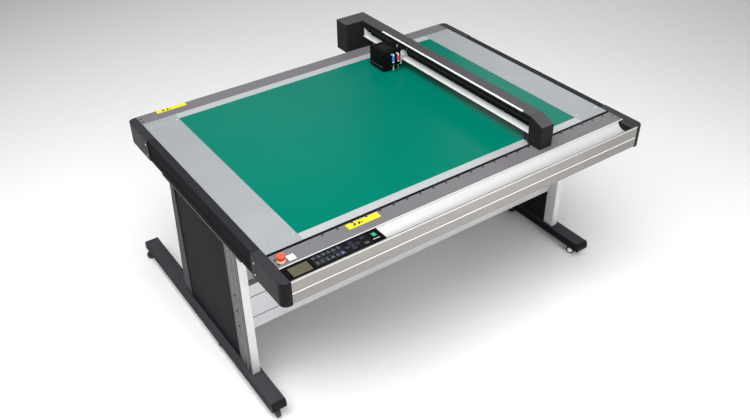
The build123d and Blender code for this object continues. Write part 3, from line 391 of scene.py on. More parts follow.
FINISH = {
    "fascia_aluminium": rail_finish(),
    "mat_green": mat_finish(),
    "bed_aluminium": plate_finish(),
    "display_glass": display_finish(),
    "post_aluminium": post_finish(),
    "beam_aluminium": beam_finish(),
    "wheel_plastic": finish("wheel_plastic", (0.010, 0.010, 0.011), 0.45, grain=TREAD_GRAIN, wear=0.2),
    "cover_paint": finish("cover_paint", (0.150, 0.143, 0.153), 0.46, grain=PAINT_GRAIN, wear=0.25,
                          specular=0.2),
    # Top faces lighter: a painted sheen.
    "black_moulding": finish("black_moulding", (0.015, 0.0148, 0.0168), 0.30, grain=MOULD_GRAIN, wear=0.25,
                             specular=0.03, side=("Z", (0.034, 0.033, 0.037), 0.30)),
    # Top faces lighter: a painted sheen.
    "side_black": finish("side_black", (0.0095, 0.0092, 0.0115), 0.40, mottle=0.03, smudge=0.02,
                         grain=PAINT_GRAIN, wear=0.2, specular=0.004,
                         side=("Z", (0.024, 0.0235, 0.027), 0.30)),
    "core_aluminium": finish("core_aluminium", (0.55, 0.56, 0.58), 0.45, 0.8, brushed="x"),
    "panel_gloss": finish("panel_gloss", (0.004, 0.004, 0.005), 0.26, grain=MOULD_GRAIN, specular=0.12),
    "keypad_film": finish("keypad_film", (0.005, 0.005, 0.006), 0.36, grain=MOULD_GRAIN, wear=0.15,
                          specular=0.12),
    "start_green": finish("start_green", (0.014, 0.38, 0.17), 0.30, grain=MOULD_GRAIN),
    "estop_yellow": finish("estop_yellow", (0.88, 0.66, 0.36), 0.40, grain=MOULD_GRAIN, wear=0.1),
    "estop_red": finish("estop_red", (0.78, 0.075, 0.030), 0.32, grain=MOULD_GRAIN, coat=0.2),
    "steel": finish("steel", (0.80, 0.80, 0.81), 0.34, 0.7, brushed="y"),
    "belt_rubber": finish("belt_rubber", (0.015, 0.015, 0.015), 0.75, grain=(0.001, 0.00005)),
    "pulley_aluminium": finish("pulley_aluminium", (0.70, 0.71, 0.72), 0.32, 1.0, brushed="z"),
    "motor_black": finish("motor_black", (0.020, 0.020, 0.021), 0.40, grain=PAINT_GRAIN, wear=0.3),
    "controller_paint": finish("controller_paint", (0.17, 0.17, 0.175), 0.50, grain=PAINT_GRAIN, wear=0.3),
    "inlet_plastic": finish("inlet_plastic", (0.016, 0.016, 0.016), 0.50, grain=MOULD_GRAIN),
    "beam_black": finish("beam_black", (0.004, 0.0045, 0.005), 0.22, smudge=0.03, grain=MOULD_GRAIN,
                         specular=0.035),
    # Faces turned along X are painted near black as shade.
    "ledge_silver": finish("ledge_silver", (0.82, 0.86, 0.865), 0.42, brushed="y",
                           side=("X", (0.010, 0.011, 0.011), 0.6)),
    # Top faces lighter: a painted sheen.
    "gantry_paint": finish("gantry_paint", (0.020, 0.019, 0.021), 0.40, mottle=0.03, grain=PAINT_GRAIN,
                           wear=0.3, specular=0.03, side=("Z", (0.070, 0.065, 0.071), 0.36)),
    "strip_white": finish("strip_white", (0.76, 0.76, 0.77), 0.25, 0.0, mottle=0.02, brushed="y"),
    "head_black": finish("head_black", (0.005, 0.0058, 0.006), 0.42, grain=MOULD_GRAIN, wear=0.2,
                         specular=0.035),
    # Painted near black as shade, with only the faces turned along Y left as bright aluminium.
    "carriage_aluminium": finish("carriage_aluminium", (0.012, 0.013, 0.013), 0.45, brushed="z", wear=0.2,
                                 specular=0.1, side=("Y", (0.85, 0.87, 0.87), 0.36)),
    "tool_blue": finish("tool_blue", (0.030, 0.27, 0.86), 0.30, 0.1, grain=MOULD_GRAIN),
    "tool_red": finish("tool_red", (0.74, 0.10, 0.07), 0.30, 0.1, grain=MOULD_GRAIN),
    # Top faces lighter: a painted sheen.
    "foot_paint": finish("foot_paint", (0.014, 0.0135, 0.0155), 0.42, mottle=0.03, grain=PAINT_GRAIN,
                         wear=0.3, specular=0.02, side=("Z", (0.058, 0.056, 0.065), 0.38)),
    "rear_post_paint": finish("rear_post_paint", (0.050, 0.048, 0.053), 0.42, grain=PAINT_GRAIN, wear=0.25,
                              specular=0.05),
    "leg_paint": finish("leg_paint", (0.015, 0.0146, 0.018), 0.45, mottle=0.02, smudge=0.02,
                        grain=PAINT_GRAIN, specular=0.012),
    "bracket_black": finish("bracket_black", (0.020, 0.020, 0.021), 0.45, grain=PAINT_GRAIN, wear=0.25),
    "caster_steel": finish("caster_steel", (0.020, 0.020, 0.021), 0.38, 0.3, grain=PAINT_GRAIN, wear=0.4),
    "levelling_rubber": finish("levelling_rubber", (0.020, 0.020, 0.020), 0.60, grain=(0.0012, 0.00004)),
    "tape_yellow": finish("tape_yellow", (0.74, 0.62, 0.015), 0.45, mottle=0.06, mottle_size=0.05),
    "ink": finish("ink", (0.02, 0.02, 0.02), 0.5, grain=MOULD_GRAIN),
    "label_white": finish("label_white", (0.86, 0.86, 0.86), 0.45, mottle=0.02, grain=MOULD_GRAIN),
    "hub_white": finish("hub_white", (0.80, 0.80, 0.79), 0.38, grain=MOULD_GRAIN),
    "print_grey": finish("print_grey", (0.34, 0.35, 0.37), 0.5, grain=MOULD_GRAIN),
    "print_dim": finish("print_dim", (0.080, 0.088, 0.085), 0.5, grain=MOULD_GRAIN),
    "arrow_pale": finish("arrow_pale", (0.86, 0.30, 0.20), 0.4, grain=MOULD_GRAIN),
    "print_white": finish("print_white", (0.70, 0.70, 0.72), 0.5, grain=MOULD_GRAIN),
    "print_blue": finish("print_blue", (0.085, 0.11, 0.18), 0.5, grain=MOULD_GRAIN),
    "print_blue_bright": finish("print_blue_bright", (0.16, 0.36, 0.72), 0.5, grain=MOULD_GRAIN),
    "print_red": finish("print_red", (0.20, 0.04, 0.035), 0.5, grain=MOULD_GRAIN),
    "lamp_blue": finish("lamp_blue", (0.05, 0.12, 0.45), 0.2, grain=MOULD_GRAIN),
    "brass": finish("brass", (0.75, 0.52, 0.22), 0.30, 1.0, brushed="z"),
}

for row in frame["record"]["subparts"]:
    node = NODES[row["node"]]
    node.data.materials.clear()
    node.data.materials.append(FINISH[row["material_slot"]])

# ---------------------------------------------------------------- mesh helpers

TABLE = Vector((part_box("corner_caps")[0].x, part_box("corner_caps")[0].y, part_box("front_rail_cover")[1].z))
CREASE = math.radians(38)


def at(x, y=0.0, z=0.0):
    """A point given in millimetres from the table's front left corner and the bed's top."""
    return TABLE + Vector((x, y, z)) * MM


class Shape:
    """One piece's mesh, put together from closed solids, each with its own finish."""

    def __init__(self, name):
        self.name = name
        self.mesh = bmesh.new()
        self.finishes = []

    def add(self, solid, finish_name):
        if finish_name not in self.finishes:
            self.finishes.append(finish_name)
        index = self.finishes.index(finish_name)
        bmesh.ops.recalc_face_normals(solid, faces=solid.faces)
        for face in solid.faces:
            face.material_index = index
        scratch = bpy.data.meshes.new("scratch")
        solid.to_mesh(scratch)
        solid.free()
        self.mesh.from_mesh(scratch)
        bpy.data.meshes.remove(scratch)

    def block(self, low, high, finish_name, bevel=0.4, turn=None):
        """Box between two points with rounded edges; bevel in millimetres, turn applied about the world."""
        solid = bmesh.new()
        bmesh.ops.create_cube(solid, size=1)
        low, high = Vector(low), Vector(high)
        solid.transform(Matrix.Translation((low + high) / 2) @ Matrix.Diagonal((*(high - low), 1)))
        if bevel:
            bmesh.ops.bevel(solid, geom=solid.edges[:], offset=bevel * MM, segments=2, profile=0.7,
                            affect="EDGES")
        if turn:
            solid.transform(turn)
        self.add(solid, finish_name)

    def lathe(self, base, profile, finish_name, axis=(0, 0, 1), steps=40, ring=False):
        """Turn a (radius, height) profile in millimetres about an axis through base.
        A ring's profile closes on itself away from the axis."""
        solid = bmesh.new()
        loops = []
        for radius, height in profile:
            count = 1 if radius == 0 else steps
            angles = [2 * math.pi * k / count for k in range(count)]
            circle = [(radius * math.cos(angle), radius * math.sin(angle), height) for angle in angles]
            loops.append([solid.verts.new(point) for point in circle])
        for one, two in zip(loops, loops[1:] + loops[:1] if ring else loops[1:]):
            for k in range(steps):
                after = k + 1
                corners = [one[k % len(one)], one[after % len(one)], two[after % len(two)], two[k % len(two)]]
                corners = list(dict.fromkeys(corners))
                if len(corners) > 2:
                    solid.faces.new(corners)
        turn = Vector(axis).to_track_quat("Z", "Y").to_matrix().to_4x4()
        solid.transform(Matrix.Translation(base) @ turn @ Matrix.Scale(MM, 4))
        self.add(solid, finish_name)

    def plate(self, outline, z, thickness, finish_name):
        """Flat plate of a closed outline of table points in millimetres, from z up by thickness."""
        solid = bmesh.new()
        lower = [solid.verts.new(at(x, y, z)) for x, y in outline]
        upper = [solid.verts.new(at(x, y, z + thickness)) for x, y in outline]
        for layer in (lower, upper):
            solid.faces.new(layer)
        for k in range(len(outline)):
            solid.faces.new((lower[k - 1], lower[k], upper[k], upper[k - 1]))
        self.add(solid, finish_name)

    def place(self, body, slot, replaces=()):
        """Write the mesh, crease its sharp edges and let it ride on a body."""
        for face in self.mesh.faces:
            face.smooth = True
        for edge in self.mesh.edges:
            edge.smooth = len(edge.link_faces) == 2 and edge.calc_face_angle() < CREASE
        mesh = bpy.data.meshes.new(self.name)
        self.mesh.to_mesh(mesh)
        self.mesh.free()
        for name in self.finishes:
            mesh.materials.append(FINISH[name])
        piece = bpy.data.objects.new(self.name, mesh)
        bpy.context.scene.collection.objects.link(piece)
        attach(piece, body)
        if replaces:
            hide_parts(*replaces)


def socket_screw(shape, base, finish_name, axis=(0, 0, 1), radius=3.4, height=1.6):
    """Button head with a hexagon socket."""
    bore = radius * 0.45
    profile = [(0, height * 0.35), (bore, height * 0.35), (bore, height), (radius * 0.75, height)]
    profile += [(radius, height * 0.45), (radius, -0.2), (0, -0.2)]
    shape.lathe(base, profile, finish_name, axis, steps=24)


# ---------------------------------------------------------------- table details

# Generic pen strokes on a tape: both ends as shares of its length and width, and the pen's width
PEN_STROKES = [
    ((0.20, 0.28), (0.26, 0.74), 8.0),
    ((0.33, 0.26), (0.41, 0.60), 7.0),
    ((0.36, 0.70), (0.39, 0.46), 6.0),
    ((0.43, 0.40), (0.48, 0.50), 5.0),
]
TAPE_THICKNESS = 0.12
TAPE_GAP = 0.10
LIFTING_CORNER = 0.18


def adhesive_tape(name, x, y, rise):
    """Strip of thin adhesive tape with a faint wave, a corner that may lift and generic pen strokes."""
    shape = Shape(name)
    columns, rows = 40, 8
    solid = bmesh.new()
    grid = []
    for i in range(columns + 1):
        u = i / columns
        line = []
        for j in range(rows + 1):
            v = j / rows
            ripple = 0.10 * math.sin(9 * u + 2 * v) * math.sin(math.pi * v)
            lift = rise * max(0.0, u + v - 2 + LIFTING_CORNER) / LIFTING_CORNER
            height = TAPE_THICKNESS + TAPE_GAP + ripple + lift
            line.append((x[0] + u * (x[1] - x[0]), y[0] + v * (y[1] - y[0]), height))
        grid.append(line)
    layers = [[[solid.verts.new(at(px, py, pz - drop)) for px, py, pz in line] for line in grid]
              for drop in (0.0, TAPE_THICKNESS)]
    for i in range(columns):
        for j in range(rows):
            for layer in layers:
                solid.faces.new((layer[i][j], layer[i + 1][j], layer[i + 1][j + 1], layer[i][j + 1]))
    border = [(i, 0) for i in range(columns)] + [(columns, j) for j in range(rows)]
    border += [(i, rows) for i in range(columns, 0, -1)] + [(0, j) for j in range(rows, 0, -1)]
    for (i, j), (m, n) in zip(border, border[1:] + border[:1]):
        solid.faces.new((layers[0][i][j], layers[0][m][n], layers[1][m][n], layers[1][i][j]))
    shape.add(solid, "tape_yellow")
    long, width = x[1] - x[0], y[1] - y[0]
    for (u0, v0), (u1, v1), pen in PEN_STROKES:
        start = Vector((x[0] + u0 * long, y[0] + v0 * width))
        end = Vector((x[0] + u1 * long, y[0] + v1 * width))
        across = (end - start).orthogonal().normalized() * pen / 2
        shape.plate([start - across, start + across, end + across, end - across], 0.34, 0.06, "ink")
    shape.place("root", "estop_yellow")


def stop_label():
    """Plain white label beside the emergency stop with three generic grey rules."""
    shape = Shape("stop_label")
    low, high = (86, 93), (113, 121)
    shape.block(at(*low, 0.02), at(*high, 0.18), "label_white", bevel=0.05)
    margin, line, pitch = 5, 2.4, 6
    for k in range(3):
        left, right = low[0] + margin, high[0] - margin - 4 * k
        y = high[1] - 9 - pitch * k
        outline = [(left, y), (right, y), (right, y + line), (left, y + line)]
        shape.plate(outline, 0.17, 0.06, "print_grey")
    shape.place("root", "strip_white")


def cover_screws():
    """Black screws near both ends of the grey rail covers."""
    shape = Shape("cover_screws")
    end_inset, front_inset, rear_inset = 0.010, 0.016, 0.029
    for cover in ("front_rail_cover", "rear_rail_cover"):
        low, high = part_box(cover)
        for x in (low.x + end_inset, high.x - end_inset):
            for y in (low.y + front_inset, high.y - rear_inset):
                socket_screw(shape, (x, y, high.z), "ink", radius=4.4)
    shape.place("root", "motor_black")


CLIP_START, CLIP_PITCH, CLIP_COUNT = 240, 59.6, 24
CLIP_LENGTH = 8


def slot_clips():
    """Small black clips that hold the cover along the slot."""
    shape = Shape("slot_clips")
    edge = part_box("front_rail_cover")[1]
    for k in range(CLIP_COUNT):
        x = CLIP_START + CLIP_PITCH * k
        low = (at(x).x, edge.y - 0.011, edge.z - 0.002)
        high = (at(x + CLIP_LENGTH).x, edge.y + 0.0012, edge.z + 0.0010)
        shape.block(low, high, "ink", 0.3)
    shape.place("root", "black_moulding")


# ---------------------------------------------------------------- control panel details

# Keys, in millimetres: half their size, the height of the film and the height of the print beside them
KEY_HALF = (7.0, 5.0)
KEY_TOP = -0.4
PANEL_TOP = -1.12
INK = 0.08
FIRST_KEY, KEY_PITCH, KEY_COLUMNS = 155, 19, 6
KEY_ROWS = (26, 56)
ARROWS_AT, ARROW_REACH = (296, 41), (20, 16)


def arrow(shape, x, y, heading, size, finish_name):
    """Plain triangular arrow on a key."""
    turn = math.radians(heading)
    corners = [(size, 0), (-0.6 * size, 0.8 * size), (-0.6 * size, -0.8 * size)]
    outline = [(x + px * math.cos(turn) - py * math.sin(turn), y + px * math.sin(turn) + py * math.cos(turn))
               for px, py in corners]
    shape.plate(outline, KEY_TOP, INK, finish_name)


def bar(shape, x, y, length, height, finish_name, z=KEY_TOP):
    """Printed bar from its lower left corner."""
    outline = [(x, y), (x + length, y), (x + length, y + height), (x, y + height)]
    shape.plate(outline, z, INK, finish_name)


def key_frame(shape, x, y, finish_name, line=0.7):
    """Thin printed outline round a key."""
    hx, hy = KEY_HALF
    bar(shape, x - hx, y + hy - line, 2 * hx, line, finish_name)
    bar(shape, x - hx, y - hy, 2 * hx, line, finish_name)
    bar(shape, x - hx, y - hy + line, line, 2 * (hy - line), finish_name)
    bar(shape, x + hx - line, y - hy + line, line, 2 * (hy - line), finish_name)


def key_dot(shape, x, y, radius, finish_name):
    """Round printed dot on a key."""
    shape.lathe(at(x, y, KEY_TOP), [(0, INK), (radius, INK), (radius, 0), (0, 0)], finish_name, steps=16)


def keypad_print():
    """Generic key outlines, arrows, bars and dots, with no lettering."""
    shape = Shape("keypad_print")
    rng = random.Random(7)
    for n in range(KEY_COLUMNS):
        for y in KEY_ROWS:
            x = FIRST_KEY + KEY_PITCH * n
            lit = (n, y) == (KEY_COLUMNS - 1, KEY_ROWS[0])
            key_frame(shape, x, y, "print_blue_bright" if lit else "print_blue")
            glyph = rng.choice(("bars", "dot", "corner"))
            tone = "print_white" if lit else "print_grey"
            if glyph == "bars":
                bar(shape, x - 4, y + 1, 6 + rng.random() * 2, 0.9, tone)
                bar(shape, x - 4, y - 2, 4 + rng.random() * 3, 0.9, tone)
            elif glyph == "dot":
                key_dot(shape, x, y, 1.8, tone)
            else:
                bar(shape, x - 3, y - 2, 6, 0.9, tone)
                bar(shape, x - 3, y - 2, 0.9, 4.5, tone)
            left = x - 5 + rng.random() * 2
            bar(shape, left, y + 7.2, 6 + rng.random() * 3, 1.0, "print_grey", PANEL_TOP)
    for n in range(12):
        length = 2.5 + rng.random() * 3.5
        y = 40.2 + rng.choice((-1.6, 0.0, 1.6))
        bar(shape, 149 + 9.6 * n, y, length, 1.1, "print_grey", PANEL_TOP)
    for dx, dy, heading in ((1, 0, 0), (0, 1, 90), (-1, 0, 180), (0, -1, 270)):
        x, y = ARROWS_AT[0] + ARROW_REACH[0] * dx, ARROWS_AT[1] + ARROW_REACH[1] * dy
        key_frame(shape, x, y, "print_blue")
        arrow(shape, x, y, heading, 2.6, "print_blue")
    key_frame(shape, *ARROWS_AT, "print_blue")
    key_dot(shape, *ARROWS_AT, 2.2, "print_red")
    for y, tone in zip(KEY_ROWS, ("print_grey", "print_blue")):
        key_frame(shape, 344, y, tone)
        bar(shape, 340, y - 0.5, 8, 1.0, tone)
    shape.place("root", "keypad_film")


def raised_rim(shape, x, y, z, rim, finish_name, bevel):
    """Rim of four bars round a rectangle; x, y and z are the ranges that it encloses and stands in."""
    for a, b in (((x[0] - rim, y[0] - rim), (x[1] + rim, y[0])),
                 ((x[0] - rim, y[1]), (x[1] + rim, y[1] + rim)),
                 ((x[0] - rim, y[0]), (x[0], y[1])),
                 ((x[1], y[0]), (x[1] + rim, y[1]))):
        shape.block((*a, z[0]), (*b, z[1]), finish_name, bevel)


def display_bezel():
    """Raised rim round the display window."""
    shape = Shape("display_bezel")
    low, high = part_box("display_window")
    z = (high.z - 0.0008, high.z + 0.0006)
    raised_rim(shape, (low.x, high.x), (low.y, high.y), z, 0.0022, "panel_gloss", 0.25)
    shape.place("root", "panel_gloss")


def start_key_trim():
    """Black surround of the start key, and the plain white rule under it."""
    shape = Shape("start_key_trim")
    low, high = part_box("start_key")
    gap = 0.0004
    x, y = (low.x - gap, high.x + gap), (low.y - gap, high.y + gap)
    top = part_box("control_panel")[1].z + 0.0012
    raised_rim(shape, x, y, (top - 0.0016, top), 0.0024, "black_moulding", 0.3)
    bar(shape, 371, 26.5, 27, 2.2, "print_white", -1.52)
    shape.place("root", "black_moulding")


def stop_arrows():
    """Three raised turning arrows on the emergency stop's face."""
    shape = Shape("stop_arrows")
    low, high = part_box("estop_button")
    centre = (low + high) / 2
    radius, span, steps = 0.0078, math.radians(70), 10
    stem, half_line, half_head = 0.66, 0.0008, 0.0019
    for third in range(3):
        start = third * 2 * math.pi / 3
        solid = bmesh.new()
        lower, upper = [], []
        for k in range(steps + 1):
            share = k / steps
            angle = start + span * share
            half = half_line if share < stem else half_head * (1 - share) / (1 - stem)
            outward = Vector((math.cos(angle), math.sin(angle), 0))
            for ring, z in ((lower, high.z - 0.0002), (upper, high.z + 0.00025)):
                level = Vector((centre.x, centre.y, z))
                inner = solid.verts.new(level + outward * (radius - half))
                ring.append((inner, solid.verts.new(level + outward * (radius + half))))
        for k in range(steps):
            for ring in (lower, upper):
                solid.faces.new((ring[k][0], ring[k][1], ring[k + 1][1], ring[k + 1][0]))
            for side in (0, 1):
                solid.faces.new((lower[k][side], lower[k + 1][side], upper[k + 1][side], upper[k][side]))
        solid.faces.new((lower[0][0], lower[0][1], upper[0][1], upper[0][0]))
        solid.faces.new((lower[-1][0], lower[-1][1], upper[-1][1], upper[-1][0]))
        bmesh.ops.remove_doubles(solid, verts=solid.verts, dist=1e-7)
        shape.add(solid, "arrow_pale")
    shape.place("estop_button", "estop_red")


# ---------------------------------------------------------------- gantry and cutting head details

def gantry_screws():
    """Screws on the rear housing and the front cap."""
    shape = Shape("gantry_screws")
    low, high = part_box("gantry_rear_box")
    for x in (low.x + 0.014, high.x - 0.014):
        for z in (low.z + 0.014, high.z - 0.014):
            socket_screw(shape, (x, high.y, z), "steel", axis=(0, 1, 0), radius=2.8)
    for y in (low.y + 0.015, high.y - 0.015):
        for z in (low.z + 0.016, high.z - 0.016):
            socket_screw(shape, (high.x, y, z), "motor_black", axis=(1, 0, 0), radius=2.8)
    cap_low, cap_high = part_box("gantry_front_cap")
    for z in (cap_low.z + 0.016, cap_low.z + 0.074):
        socket_screw(shape, (cap_high.x, cap_low.y + 0.030, z), "motor_black", axis=(1, 0, 0), radius=2.8)
    shape.place("gantry", "steel")


def turned_tool(shape, x, y, bands, facets=28):
    """Tool turned from stacked bands: (finish, [(radius, height), ...]) with heights above the bed."""
    for finish_name, outline in bands:
        profile = [(0, outline[0][1]), *outline, (0, outline[-1][1])]
        shape.lathe(at(x, y), profile, finish_name, steps=facets)


def grip(radius, low, high, rings):
    """Knurled grip outline: shallow grooves round a barrel."""
    pitch = (high - low) / rings
    outline = []
    for k in range(rings):
        z = low + k * pitch
        outline += [(radius - 0.4, z), (radius, z + 0.25 * pitch)]
        outline += [(radius, z + 0.75 * pitch), (radius - 0.4, z + pitch)]
    return outline


TOOL_Y = 985.0


def tool_holder(name, node, body, slot, centre_x, grip_finish, tip_finish, tip, grip_high):
    """Slide with its clamp and thumbscrew, and the turned tool that it carries."""
    shape = Shape(name)
    y = TOOL_Y
    back = (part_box(node)[1].y - TABLE.y) / MM
    shape.block(at(centre_x - 8.5, y + 5.5, 32), at(centre_x + 8.5, back, 80), "head_black", 0.8)
    shape.block(at(centre_x - 5, y + 7.5, 26), at(centre_x + 5, back, 86), "steel", 0.3)
    shape.block(at(centre_x - 9.5, y - 5, 34), at(centre_x + 9.5, y + 6.5, 42), "head_black", 0.8)
    thumbscrew = [(0, 0), (1.6, 0), (1.6, 1.2), (2.6, 1.2), (2.6, 3.4), (2.2, 3.8), (0, 3.8)]
    shape.lathe(at(centre_x, y - 5, 38), thumbscrew, "brass", axis=(0, -1, 0), steps=20)
    knob = [(3.6, grip_high + 2.5), (3.6, grip_high + 7), (3.2, grip_high + 8), (2.2, grip_high + 8.5)]
    turned_tool(shape, centre_x, y, [
        (tip_finish, [(0.7, tip), (1.1, tip + 1.5), (2.0, tip + 4), (2.3, tip + 6), (2.3, 34)]),
        ("head_black", [(4.2, 34), (4.8, 34.5), (4.8, 48)]),
        ("hub_white", [(5.2, 48), (5.6, 48.5), (5.6, 53), (5.2, 53.5)]),
        (grip_finish, [(4.8, 53.5), *grip(6.2, 54, grip_high, 5), (5.0, grip_high + 2.5)]),
        ("hub_white", knob),
    ])
    shape.place(body, slot, replaces=(node,))


def head_trim():
    """Head details: face frame, status lamp, a line and screws on the side, and ribs on the top."""
    shape = Shape("head_trim")
    low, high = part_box("head_cover")
    proud, sunk = low.y - 0.0016, low.y + 0.001
    frame_top = high.z - 0.006
    for x in (low.x + 0.006, high.x - 0.004):
        shape.block((x, proud, low.z + 0.004), (x + 0.0022, sunk, frame_top), "head_black", 0.5)
    shape.block((low.x + 0.006, proud, frame_top - 0.003), (high.x - 0.002, sunk, frame_top), "head_black", 0.5)
    lamp = [(0, 1.2), (1.6, 1.0), (2.2, 0.4), (2.2, -0.5), (0, -0.5)]
    lamp_at = (low.x + 0.020, low.y - 0.0002, high.z - 0.018)
    shape.lathe(lamp_at, lamp, "lamp_blue", axis=(0, -1, 0), steps=20)
    side_low, side_high = low.y + 0.010, high.y - 0.010
    shape.block((low.x - 0.0006, side_low, low.z + 0.0125), (low.x + 0.001, side_high, low.z + 0.0150),
                "print_dim", 0.2)
    for y in (side_low + 0.006, side_high - 0.006):
        socket_screw(shape, (low.x, y, high.z - 0.014), "motor_black", axis=(-1, 0, 0), radius=2.0, height=0.9)
    ribs, rib_pitch = 6, 0.0095
    for k in range(ribs):
        y = low.y + 0.030 + rib_pitch * k
        shape.block((low.x + 0.024, y, high.z - 0.0006), (low.x + 0.060, y + 0.003, high.z + 0.0005),
                    "black_moulding", 0.3)
    shape.place("head", "head_black")


# ---------------------------------------------------------------- stand details

JOINTS = {row["name"]: row for row in frame["record"]["behaviour"]["joints"]}
# Which side of each caster wheel shows its pale hub; the other side has a black thread guard
PALE_SIDE = {"front_left": 1, "front_right": 1, "rear_left": -1, "rear_right": 1}
# Half the wheel's width in millimetres, and the fork's outer faces from its middle in metres
WHEEL_HALF_WIDTH = 8.5
FORK_REACH = 0.0113


def caster(corner, pale):
    """Wheel with tyre, pale hub and thread guard, and the fork's race, axle disc and axle cap."""
    roll = JOINTS[f"{corner}_roll"]
    centre, axle = Vector(roll["pos_m"]), Vector(roll["axis"]) * pale
    half = WHEEL_HALF_WIDTH
    wheel = Shape(f"{corner}_wheel_set")
    tread = [(13.2, half - 0.6), (18.4, half), (19.9, half - 0.8), (20.9, half - 2.6)]
    tyre = [(radius, -height) for radius, height in tread] + tread[::-1]
    wheel.lathe(centre, tyre, "wheel_plastic", axle, 56, ring=True)
    hub = [(3.1, 3.6 - half), (13.25, 3.6 - half), (13.25, half - 0.9), (12.0, half - 2.0),
           (6.8, half - 1.4), (6.2, half - 0.4), (3.1, half - 0.4)]
    wheel.lathe(centre, hub, "hub_white", axle, 48, ring=True)
    guard = [(3.1, 0.5 - half), (11.4, 0.5 - half), (13.1, 1.4 - half), (13.1, 3.5 - half), (3.1, 3.5 - half)]
    wheel.lathe(centre, guard, "wheel_plastic", axle, 48, ring=True)
    wheel.place(f"{corner}_wheel", "wheel_plastic", replaces=(f"{corner}_caster_wheel",))
    fork = Shape(f"{corner}_fork_hardware")
    top = Vector(JOINTS[f"{corner}_swivel"]["pos_m"])
    top.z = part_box("left_foot")[0].z - 0.0003
    race = [(6.2, -0.2), (16.0, -0.2), (17.4, -1.0), (17.4, -2.0)]
    race += [(16.2, -2.6), (16.2, -3.2), (17.0, -3.4), (6.2, -3.4)]
    fork.lathe(top, race, "caster_steel", steps=40, ring=True)
    disc = [(0, 1.9), (2.2, 1.9), (3.0, 1.3), (9.6, 1.5), (11.4, 0.9), (11.8, 0.0), (0, 0.0)]
    fork.lathe(centre + axle * FORK_REACH, disc, "hub_white", axle, 40)
    cap = [(0, 1.9), (2.6, 1.7), (4.2, 1.0), (4.6, 0.0), (0, 0.0)]
    fork.lathe(centre - axle * FORK_REACH, cap, "caster_steel", -axle, 24)
    fork.place(f"{corner}_fork", "caster_steel")


def stand_bolts():
    """Bolts through the posts into the crossbeam, and the screws of the brackets."""
    shape = Shape("stand_bolts")
    beam_low, beam_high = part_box("crossbeam")
    post_low, post_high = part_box("front_posts")
    inset = 0.028
    y = (beam_low.y + beam_high.y) / 2
    for z in (beam_low.z + inset, (beam_low.z + beam_high.z) / 2, beam_high.z - inset):
        for x, facing in ((post_low.x, -1), (post_high.x, 1)):
            socket_screw(shape, (x, y, z), "caster_steel", axis=(facing, 0, 0), radius=5.0, height=2.6)
    bracket_low, bracket_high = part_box("table_brackets")
    bracket_inset = 0.085
    for x in (bracket_low.x + bracket_inset, bracket_high.x - bracket_inset):
        for share in (0.12, 0.5, 0.88):
            place = (x, bracket_low.y + share * (bracket_high.y - bracket_low.y), bracket_low.z)
            socket_screw(shape, place, "steel", axis=(0, 0, -1), radius=4.2, height=2.4)
    shape.place("root", "steel")


def levelling(side):
    """Levelling foot: rubber pad, hexagon nut and threaded stem."""
    node = f"{side}_levelling_foot"
    low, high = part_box(node)
    centre = (low + high) / 2
    shape = Shape(f"{side}_levelling_set")
    base = Vector((centre.x, centre.y, low.z))
    pad = [(0, 0), (22.6, 0), (23.6, 0.8), (23.6, 3.4), (22.4, 5.0), (15.0, 6.2), (9.5, 8.4), (0, 8.4)]
    shape.lathe(base, pad, "levelling_rubber", steps=56)
    nut = [(0, 6.0), (10.8, 6.0), (11.0, 7.2), (11.0, 13.2), (10.0, 14.0), (0, 14.0)]
    shape.lathe(base, nut, "steel", steps=6)
    thread = []
    pitch, start = 1.5, 14.0
    for k in range(int(((high.z - low.z) / MM - start - 1) / pitch)):
        z = start + k * pitch
        thread += [(5.3, z), (5.9, z + 0.4 * pitch), (5.9, z + 0.6 * pitch)]
    end = thread[-1][1] + 1
    shape.lathe(base, [(0, start), *thread, (5.2, end), (0, end)], "steel", steps=28)
    shape.place(node, "levelling_rubber", replaces=(node,))


def under_bed():
    """Cable glands, a blank plate and screws on the electronics box."""
    shape = Shape("controller_fittings")
    low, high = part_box("controller_box")
    for k in range(3):
        x = low.x + 0.030 + 0.026 * k
        gland = [(0, 0), (9, 0), (9, 3), (7, 3.4), (7, 10), (5.4, 12.5), (0, 12.5)]
        shape.lathe((x, high.y - 0.0005, low.z + 0.030), gland, "black_moulding", axis=(0, 1, 0), steps=24)
    plate_low = (high.x - 0.110, high.y - 0.0004, low.z + 0.018)
    shape.block(plate_low, (high.x - 0.030, high.y + 0.0008, low.z + 0.044), "label_white", 0.3)
    for x in (low.x + 0.010, high.x - 0.010):
        for y in (low.y + 0.014, high.y - 0.014):
            socket_screw(shape, (x, y, low.z), "steel", axis=(0, 0, -1), radius=2.6)
    shape.place("root", "controller_paint")


adhesive_tape("front_tape", (335, 467), (116, 146), 0.5)
adhesive_tape("rear_tape", (124, 258), (1261, 1286.5), 0.0)
stop_label()
cover_screws()
slot_clips()
keypad_print()
display_bezel()
start_key_trim()
stop_arrows()
gantry_screws()
tool_holder("pen_set", "pen_holder", "pen", "tool_blue", 1155.0, "tool_blue", "hub_white", 5.8, 79)
tool_holder("blade_set", "blade_holder", "blade", "tool_red", 1182.0, "tool_red", "steel", 8.0, 77)
head_trim()
for corner, pale in PALE_SIDE.items():
    caster(corner, pale)
stand_bolts()
for side in ("left", "right"):
    levelling(side)
under_bed()

# ---------------------------------------------------------------- camera, light and floor

CAMERA_AT = Vector((-1.6769, -2.4254, 2.4786))
HEADING, PITCH, ROLL = (math.radians(angle) for angle in (34.684, 36.176, -0.780))
LENS, SENSOR = 38.605, 36.0


